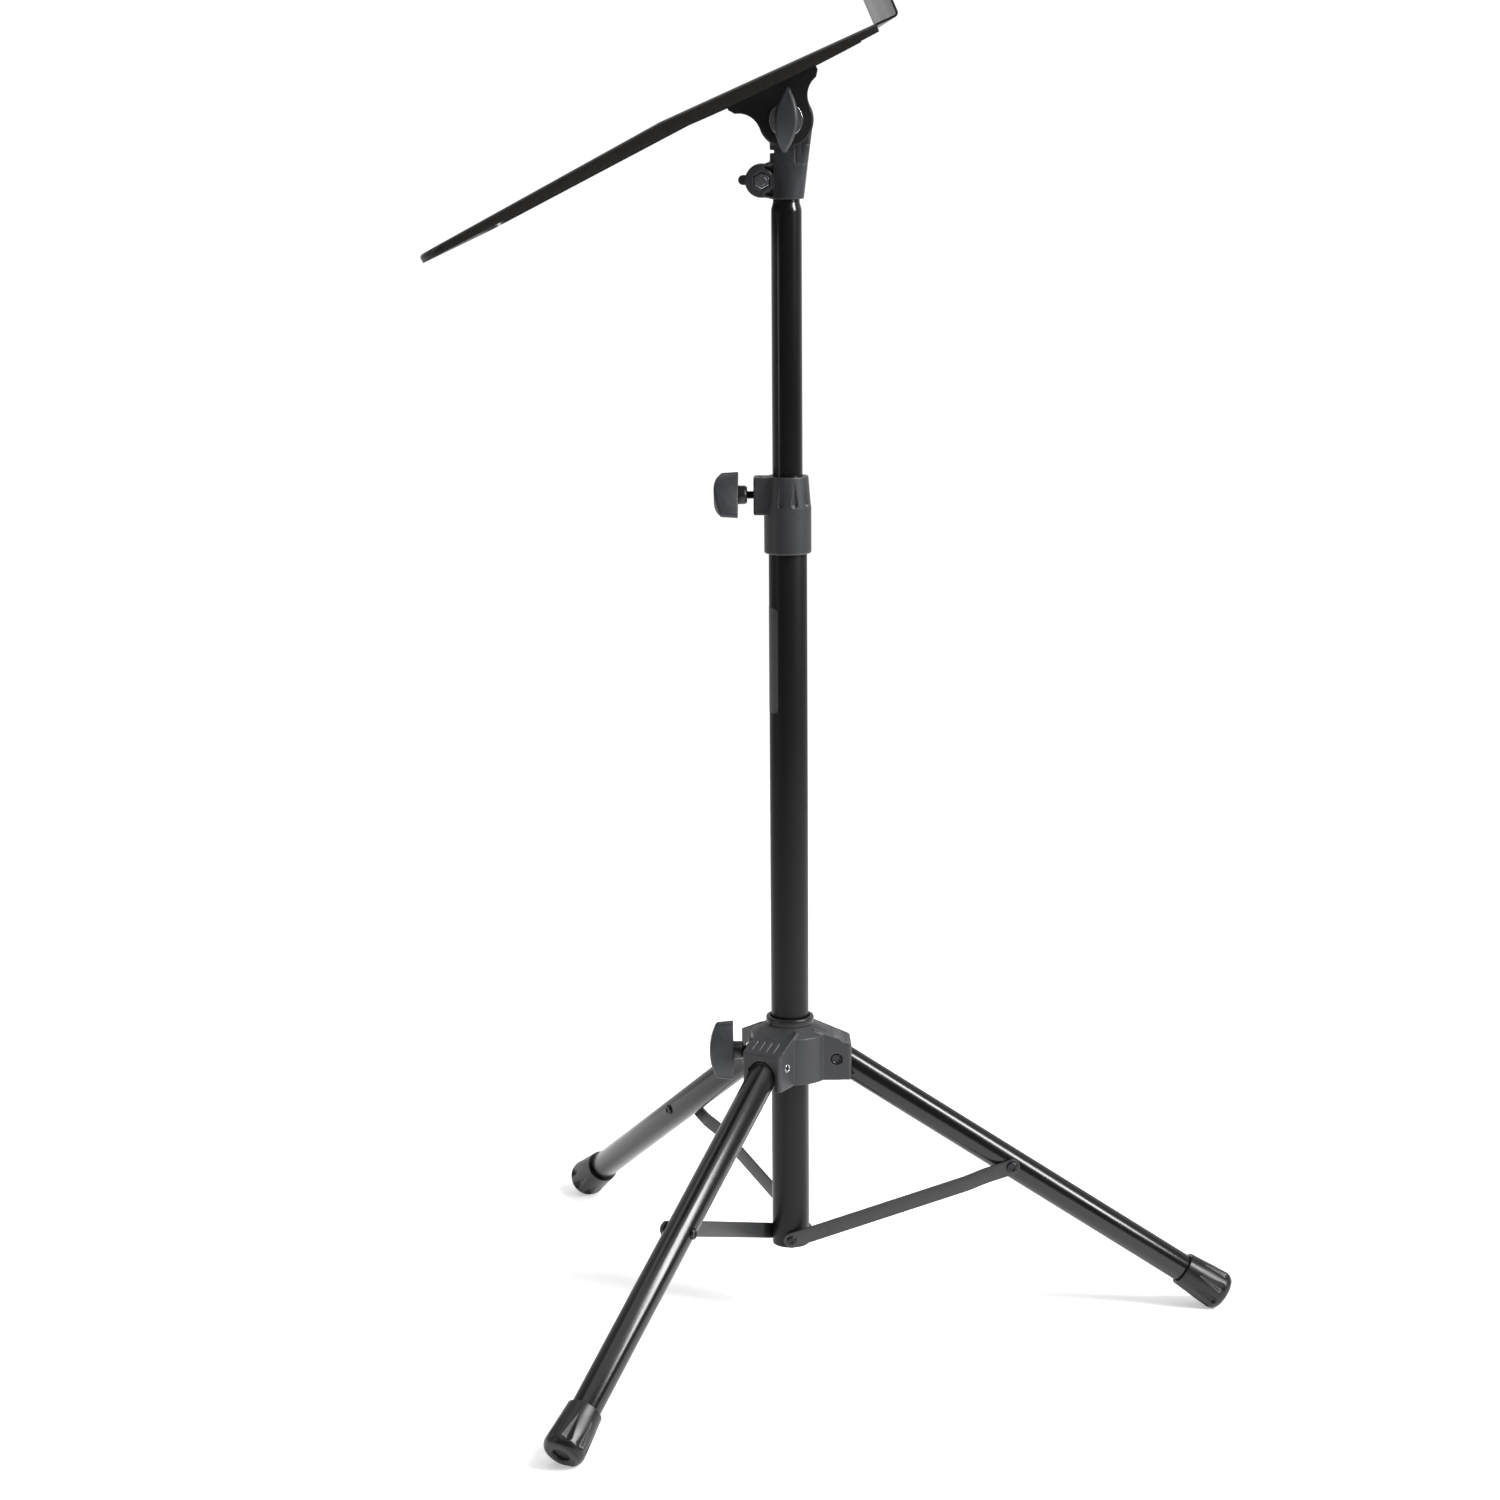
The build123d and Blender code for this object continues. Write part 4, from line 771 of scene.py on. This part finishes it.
def leg_pieces(name):
    """A leg with its foot and plug, and the brace that joins it to the column."""
    fold = joints[f"leg_{name}_fold"]
    pin = Vector(fold["pos_m"])
    side = -Vector(fold["axis"])
    out = UP.cross(side)
    along = out * cos(leg_slope) - UP * sin(leg_slope)
    body = f"leg_{name}"
    down_leg = stand(pin, along, side)
    turned(f"leg_tube_{name}_finished", down_leg,
           [(leg_r, leg_from), (leg_r, leg_to), (leg_bore_r, leg_to), (leg_bore_r, leg_from)],
           body, "gloss_black_paint", [f"leg_tube_{name}"], edge=0.3, closed=True)
    shape = bmesh.new()
    add_foot(shape, down_leg, foot_start)
    new_piece(f"foot_{name}_finished", shape, body, "foot_rubber", [f"foot_{name}"])
    rivet_point = pin + along * brace_on_leg * MM
    rivet_start = rivet_point - side * leg_rivet_from * MM
    shape = bmesh.new()
    add_turned(shape, stand(rivet_start, -side), rivet_profile(4.3, 1.7, 2.0, 0.9), segments=48)
    shank = [(0, 0), (leg_rivet_r, 0), (leg_rivet_r, leg_rivet_l), (0, leg_rivet_l)]
    add_turned(shape, stand(rivet_start, side), shank, segments=32)
    new_piece(f"leg_rivet_{name}_finished", shape, body, "dark_steel", [f"leg_rivet_{name}"], 0.15 * MM)
    softened(f"leg_plug_{name}", 0.5, 3)

    pivot_z = joints[f"brace_{name}_swing"]["pos_m"][2]
    pivot = Vector((column_x, column_y, pivot_z))
    reach = rivet_point - pivot
    length = reach.length / MM
    strip_body = f"brace_{name}_link"
    shape = bmesh.new()
    add_strip(shape, stand(pivot, side, reach), length, brace_w, brace_t, brace_inner_at_column,
              brace_inner_at_leg, length - joggle_from_end, length - joggle_to_end)
    new_piece(f"brace_{name}_finished", shape, strip_body, "brace_paint", [f"brace_{name}"], 0.35 * MM)
    shape = bmesh.new()
    head_at = rivet_point + side * brace_rivet_from * MM
    add_turned(shape, stand(head_at, side), rivet_profile(4.5, 1.8, 2.1, 1.0), segments=48)
    brace_rivet = f"brace_rivet_{name}"
    new_piece(f"{brace_rivet}_finished", shape, strip_body, "dark_steel", [brace_rivet], 0.12 * MM)


def pivot_rivets():
    """The three rivets on the lower tube that the braces turn on."""
    shape = bmesh.new()
    shank = [(0, pivot_from), (pivot_rivet_r, pivot_from), (pivot_rivet_r, 16.6), (0, 16.6)]
    for name in leg_names:
        side = -Vector(joints[f"leg_{name}_fold"]["axis"])
        pivot = Vector((column_x, column_y, joints[f"brace_{name}_swing"]["pos_m"][2]))
        head_at = pivot + side * pivot_head_from * MM
        add_turned(shape, stand(head_at, side), rivet_profile(3.7, 1.3, 1.3, 0.7), segments=48)
        add_turned(shape, stand(pivot, side), shank, segments=32)
    new_piece("brace_pivot_rivets_finished", shape, "column", "dark_steel", ["brace_pivot_rivets"], 0.12 * MM)


# ---------------------------------------------------------------- sliding hub
bush_bore_r = 14.06
bush_sleeve_r = 15.6
bush_lip_r = 17.9
bush_lip_t = 5.8
pin_shank_r = 3.0
pin_flange_r = 3.9
grommet_bore_r = 2.3


def hub_pieces():
    """The hub's moulding and the bush, pins, nut and pad in it."""
    softened("hub_body", 0.5, 6)
    low, high = heights("hub_guide_bush")
    turned("hub_guide_bush_finished", stand(column_foot, UP, (1, 0, 0)),
           [(bush_bore_r, low), (bush_bore_r, high - 3), (14.5, high - 1.2), (15.4, high), (16.6, high),
            (17.5, high - 0.4), (bush_lip_r, high - 1.3), (bush_lip_r, high - bush_lip_t),
            (bush_sleeve_r, high - bush_lip_t), (bush_sleeve_r, low)],
           "hub", "black_plastic", ["hub_guide_bush"], edge=0.15, closed=True)
    # each pin has a dished flange on one side and a rolled open end on the other
    pin_profile = [(0, 14.9), (2.6, 14.9), (3.0, 15.4), (3.5, 15.4), (pin_flange_r, 15.0),
                   (pin_flange_r, 14.0), (pin_shank_r, 14.0), (pin_shank_r, -8.0), (0, -8.0)]
    grommet_profile = [(3.3, -15.6), (3.3, -16.1), (3.05, -16.35), (2.6, -16.3), (grommet_bore_r, -16.0),
                       (grommet_bore_r, -8.2), (pin_shank_r, -8.2), (pin_shank_r, -15.6)]
    pins = bmesh.new()
    grommets = bmesh.new()
    for name in leg_names:
        fold = joints[f"leg_{name}_fold"]
        place = stand(Vector(fold["pos_m"]), -Vector(fold["axis"]))
        add_turned(pins, place, pin_profile, segments=48)
        add_turned(grommets, place, grommet_profile, closed=True, segments=48)
    # the flange ends take the very dark steel and the open ends the bright steel: the dark flange ends are a
    # painted shade for the recesses they sit in
    new_piece("leg_pins_finished", pins, "hub", "dark_steel", ["leg_pins"], 0.1 * MM)
    new_piece("leg_pin_grommets", grommets, "hub", "bright_steel", ["leg_pins"], 0.08 * MM)
    broken_edges("hub_nut", 0.4)
    broken_edges("hub_pressure_pad", 0.3)


# ---------------------------------------------------------------- head
tilt_washer_r = 15.6
tilt_washer_bore_r = 4.1
tilt_washer_t = 0.8
tilt_washer_starts = (-11.8, 11.0)


def head_pieces():
    """The head's casting, its clamp screw with wing and nut, and the washers on its tongue."""
    softened("head_casting", 0.4, 5)
    softened("clamp_wing", 0.35, 6)
    broken_edges("clamp_nut", 0.4)
    low, high = (corner.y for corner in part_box("clamp_screw"))
    origin = Vector(joints["clamp_wing_turn"]["pos_m"])
    origin.y = low
    shape = bmesh.new()
    add_thread(shape, stand(origin, (0, 1, 0)), m6_r, m6_pitch, 0, (high - low) / MM)
    new_piece("clamp_screw_finished", shape, "clamp_wing_screw", "bright_steel", ["clamp_screw"])
    shape = bmesh.new()
    tilt = stand(Vector(joints["desk_tilt"]["pos_m"]), (0, 1, 0))
    for low in tilt_washer_starts:
        high = low + tilt_washer_t
        bore = [(tilt_washer_bore_r, low), (tilt_washer_bore_r, high)]
        add_turned(shape, tilt, bore + [(tilt_washer_r, high), (tilt_washer_r, low)], closed=True)
    washers = ["tilt_friction_washers"]
    new_piece("tilt_friction_washers_finished", shape, "head", "black_plastic", washers, 0.15 * MM)


# ---------------------------------------------------------------- desk
desk_slope = radians(23.7)
desk_bend = radians(4.4)
desk_face = 33.5
desk_half = 250.0
desk_bend_u = -72.7
desk_upper = 178.9
desk_sheet = 1.5
rim_start = 77.0
ledge_inner = 91.1
ledge_top = 77.0
lip_end = 84.6
corner_r = 22.0
fold_r = 2.4
fold_steps = 6
side_steps = 16
top_steps = 24
rim_at_bend = 8.8
rim_at_ends = 5.5
rim_bow = 6.4
ledge_bend_r = 1.5
ledge_bend_steps = 6
screw_spots = [(u, y) for u in (-28.0, 28.0) for y in (-6.5, 6.5)]


def desk_place():
    """Matrix of the desk's own axes in mm: X up to the ledge, Y across the desk, Z out of its face."""
    centre = Vector(joints["desk_tilt"]["pos_m"])
    up_desk = Vector((cos(desk_slope), 0, sin(desk_slope)))
    out = Vector((-sin(desk_slope), 0, cos(desk_slope)))
    across = out.cross(up_desk)
    return Matrix(
        (
            (up_desk.x * MM, across.x * MM, out.x * MM, centre.x),
            (up_desk.y * MM, across.y * MM, out.y * MM, centre.y),
            (up_desk.z * MM, across.z * MM, out.z * MM, centre.z),
            (0, 0, 0, 1),
        )
    )


def on_desk(u, y, depth=0.0):
    """Point at a depth below the face; past the bend the face turns down."""
    if u >= desk_bend_u:
        return Vector((u, y, desk_face - depth))
    past = desk_bend_u - u
    return Vector((desk_bend_u - past * cos(desk_bend) + depth * sin(desk_bend), y,
                   desk_face - past * sin(desk_bend) - depth * cos(desk_bend)))


def rim_depth(u):
    """Depth of the turned-down rim: bowed between the ledge and the bend, and tapering to the top edge."""
    extra = rim_at_bend - rim_at_ends
    if u > desk_bend_u:
        share = (rim_start - u) / (rim_start - desk_bend_u)
        return rim_at_ends + extra * share + rim_bow * share * (1 - share)
    return rim_at_bend - extra * (desk_bend_u - u) / desk_upper


def desk_outline():
    """Points (u, y, outward u, outward y) along the rim, from the ledge on one side round to the other."""
    far = desk_bend_u - desk_upper
    middle = corner_r - desk_half
    side = []
    for start, end in ((rim_start, desk_bend_u), (desk_bend_u, far + corner_r)):
        side += [(start + (end - start) * i / side_steps, -desk_half, 0, -1) for i in range(side_steps)]
    for i in range(side_steps + 1):
        turn = pi / 2 * i / side_steps
        u = far + corner_r - corner_r * sin(turn)
        side.append((u, middle - corner_r * cos(turn), -sin(turn), -cos(turn)))
    top = [(far, middle - 2 * middle * i / top_steps, -1, 0) for i in range(1, top_steps)]
    other = [(u, -y, a, -b) for u, y, a, b in reversed(side)]
    return side + top + other


def ledge_profile():
    """Points (u, height above the bolt) of the ledge, from the face up to the edge of its lip."""
    bends = [pi / 2 * i / ledge_bend_steps for i in range(1, ledge_bend_steps + 1)]
    inner = ledge_inner - ledge_bend_r
    low = desk_face + ledge_bend_r
    high = ledge_top - ledge_bend_r
    profile = [(rim_start, desk_face), (inner, desk_face)]
    profile += [(inner + ledge_bend_r * sin(t), low - ledge_bend_r * cos(t)) for t in bends]
    profile += [(ledge_inner, high)]
    profile += [(inner + ledge_bend_r * cos(t), high + ledge_bend_r * sin(t)) for t in bends]
    return profile + [(lip_end, ledge_top)]


def desk_skin(shape, place):
    """The pressed sheet's face side, without thickness: face, folded rim, ledge and lip."""
    outline = desk_outline()
    columns = []
    for u, y, out_u, out_y in outline:
        column = []
        for i in range(fold_steps + 1):
            turn = pi / 2 * i / fold_steps
            inset = fold_r * (1 - sin(turn))
            column.append(on_desk(u - out_u * inset, y - out_y * inset, fold_r * (1 - cos(turn))))
        column.append(on_desk(u, y, rim_depth(u)))
        columns.append([shape.verts.new(place @ point) for point in column])
    for one, two in zip(columns, columns[1:]):
        for k in range(len(one) - 1):
            shape.faces.new([one[k], two[k], two[k + 1], one[k + 1]])
    face_edge = [column[0] for column in columns]
    bend_at = min(range(len(outline)), key=lambda i: (abs(outline[i][0] - desk_bend_u), outline[i][1]))
    far_bend = len(outline) - 1 - bend_at
    shape.faces.new(face_edge[bend_at : far_bend + 1])
    rows = []
    for u, v in ledge_profile():
        rows.append([shape.verts.new(place @ Vector((u, y, v))) for y in (-desk_half, desk_half)])
    for one, two in zip(rows, rows[1:]):
        shape.faces.new([one[0], two[0], two[1], one[1]])
    shape.faces.new(face_edge[bend_at::-1] + [rows[0][0], rows[0][1]] + face_edge[: far_bend - 1 : -1])
    bmesh.ops.recalc_face_normals(shape, faces=shape.faces)
    up = place.to_3x3() @ Vector((0, 0, 1))
    biggest = max(shape.faces, key=lambda f: f.calc_area())
    if biggest.normal.dot(up) < 0:
        bmesh.ops.reverse_faces(shape, faces=shape.faces)


def plain_object(name, shape):
    """Object made from a bmesh as it is, which isn't handed to the frame."""
    mesh = bpy.data.meshes.new(name)
    shape.to_mesh(mesh)
    shape.free()
    made = bpy.data.objects.new(name, mesh)
    bpy.context.scene.collection.objects.link(made)
    return made


def desk_sheet_piece(place, screw_tops, face_out):
    """The desk's sheet at its full thickness, with countersunk holes and broken edges."""
    shape = bmesh.new()
    desk_skin(shape, place)
    plate = plain_object("desk_plate_finished", shape)
    sheet = plate.modifiers.new("sheet", "SOLIDIFY")
    sheet.thickness = desk_sheet * MM
    sheet.offset = -1
    shape = bmesh.new()
    hole = [(0, 1), (4.9, 1), (2.2, -1.7), (2.2, -3), (0, -3)]
    for top in screw_tops:
        add_turned(shape, stand(top, face_out), hole, segments=48)
    bmesh.ops.recalc_face_normals(shape, faces=shape.faces)
    cutter = plain_object("screw_holes", shape)
    holes = plate.modifiers.new("holes", "BOOLEAN")
    holes.object = cutter
    add_bevel(plate, 0.35 * MM, 50)
    finish_piece(plate, "desk", "desk_paint", ["desk_plate"])
    bpy.data.objects.remove(cutter)


bracket_under = 4.0
screw_top_profile = [
    (0, -0.9), (1.3, -0.9), (1.6, -0.5), (1.7, -0.1), (1.85, 0), (3.5, 0), (3.75, -0.15), (2.6, -1.25),
    (2.0, -1.4), (2.0, -7.0), (0, -7.0),
]
screw_tail_profile = [(0, 2.0), (2.2, 1.9), (3.3, 1.2), (3.8, 0), (2.0, 0), (0, 0)]


def desk_pieces():
    """The desk's sheet, its bracket and the screws that hold them together."""
    place = desk_place()
    face_out = (place.to_3x3() @ Vector((0, 0, 1))).normalized()
    screw_tops = [place @ Vector((u, y, desk_face)) for u, y in screw_spots]
    desk_sheet_piece(place, screw_tops, face_out)
    softened("desk_bracket", 0.4, 3)
    shape = bmesh.new()
    for top in screw_tops:
        tail = top - face_out * bracket_under * MM
        add_turned(shape, stand(top, face_out), screw_top_profile, segments=48)
        add_turned(shape, stand(tail, -face_out), screw_tail_profile, segments=48)
    new_piece("desk_screws_finished", shape, "desk", "dark_steel", ["desk_screws"], 0.1 * MM)
    broken_edges("tilt_bolt", 0.5)


bracket_side = 14.4
knob_washer_r = 12.0
knob_bore_r = 4.06
knob_washer_end = bracket_side + 1.7
tilt_grip_start = bracket_side + 8.0


def tilt_knob_pieces():
    """The knob on the tilt bolt, outwards from the bracket: washer, ferrule and tee grip."""
    tilt_point = Vector(joints["desk_tilt"]["pos_m"])
    place = stand(tilt_point, joints["tilt_knob_turn"]["axis"])
    turned("tilt_knob_washer_finished", place,
           [(knob_bore_r, bracket_side + 0.1), (knob_washer_r, bracket_side + 0.1),
            (knob_washer_r, knob_washer_end), (knob_bore_r, knob_washer_end)],
           "tilt_knob", "bright_steel", ["tilt_knob_washer"], edge=0.3, closed=True)
    turned("tilt_knob_ferrule_finished", place,
           [(knob_bore_r, knob_washer_end), (ferrule_mouth_r, knob_washer_end), (6.3, knob_washer_end + 0.9),
            (ferrule_r, knob_washer_end + 1.5), (ferrule_r, tilt_grip_start), (knob_bore_r, tilt_grip_start)],
           "tilt_knob", "black_plastic", ["tilt_knob_ferrule"], edge=0.25, closed=True)
    tee_grip("tilt_knob", "tilt_knob_turn", tilt_point, -3.0, tilt_grip_start)


column_pieces()
pivot_rivets()
for name in ("collar_pressure_pad", "collar_nut"):
    broken_edges(name, 0.3)
softened("clamp_collar", 0.42, 5)
clamp_knob("collar_knob", "collar_knob_turn", 53.0, m6_r, m6_pitch, 29.4, 36.0, 13.4)
clamp_knob("hub_knob", "hub_knob_turn", 0.0, m8_r, m8_pitch, 35.2, 42.6, 16.4)
for name in leg_names:
    leg_pieces(name)
hub_pieces()
head_pieces()
desk_pieces()
tilt_knob_pieces()


# ---------------------------------------------------------------- studio
def add_light(name, place, size, power, aim=(0, 0, 0.5)):
    """Rectangular soft box at a place, facing another."""
    data = bpy.data.lights.new(name, "AREA")
    data.shape = "RECTANGLE"
    data.size, data.size_y = size
    data.energy = power
    light = bpy.data.objects.new(name, data)
    light.location = Vector(place)
    light.rotation_euler = (Vector(aim) - light.location).to_track_quat("-Z", "Y").to_euler()
    bpy.context.scene.collection.objects.link(light)


world_seen = 1.05
world_front = 0.08
world_back = 0.7
floor_r = 2.3
floor_fade = (0.9, 2.2)
floor_glow = 0.4


def studio_world():
    """White to look at; as a light it is bright behind the stand and dim in front, like a lit backdrop."""
    world = bpy.data.worlds.new("studio")
    world.use_nodes = True
    nodes, links = world.node_tree.nodes, world.node_tree.links
    place = nodes.new("ShaderNodeTexCoord")
    parts = nodes.new("ShaderNodeSeparateXYZ")
    links.new(place.outputs["Generated"], parts.inputs["Vector"])
    lit = ramp(nodes, links, parts.outputs["Y"], world_front, world_back, -0.3, 0.9)
    seen = nodes.new("ShaderNodeLightPath")
    strength = nodes.new("ShaderNodeMix")
    links.new(seen.outputs["Is Camera Ray"], strength.inputs["Factor"])
    links.new(lit, strength.inputs["A"])
    strength.inputs["B"].default_value = world_seen
    background = nodes["Background"]
    background.inputs["Color"].default_value = (1, 1, 1, 1)
    links.new(strength.outputs["Result"], background.inputs["Strength"])
    bpy.context.scene.world = world
    bpy.context.scene.view_settings.view_transform = "Standard"


def floor_material():
    """Pale matt floor with a slight glow, so that shadows stay faint; it fades out towards its rim."""
    material = surface("floor", (0.9, 0.9, 0.9), 0.8, specular=0.1, grain=200, grain_depth=0.01, tone=0.004)
    nodes, links = material.node_tree.nodes, material.node_tree.links
    shader = nodes["Principled BSDF"]
    shader.inputs["Emission Color"].default_value = (1, 1, 1, 1)
    shader.inputs["Emission Strength"].default_value = floor_glow
    place = nodes.new("ShaderNodeTexCoord")
    distance = nodes.new("ShaderNodeVectorMath")
    distance.operation = "LENGTH"
    links.new(place.outputs["Object"], distance.inputs[0])
    links.new(ramp(nodes, links, distance.outputs["Value"], 1, 0, *floor_fade), shader.inputs["Alpha"])
    return material


def studio():
    """Pale floor, white surroundings and large soft boxes."""
    studio_world()
    shape = bmesh.new()
    bmesh.ops.create_circle(shape, cap_ends=True, segments=96, radius=floor_r)
    floor = plain_object("floor", shape)
    floor.data.materials.append(floor_material())
    add_light("top_box", (0, -0.2, 3.2), (3.4, 3.4), 44)
    add_light("right_box", (1.7, -0.75, 1.85), (0.6, 1.8), 96, (-0.1, -0.15, 0.1))
    add_light("left_box", (-2.2, -0.9, 1.2), (0.5, 2.2), 6)


studio()
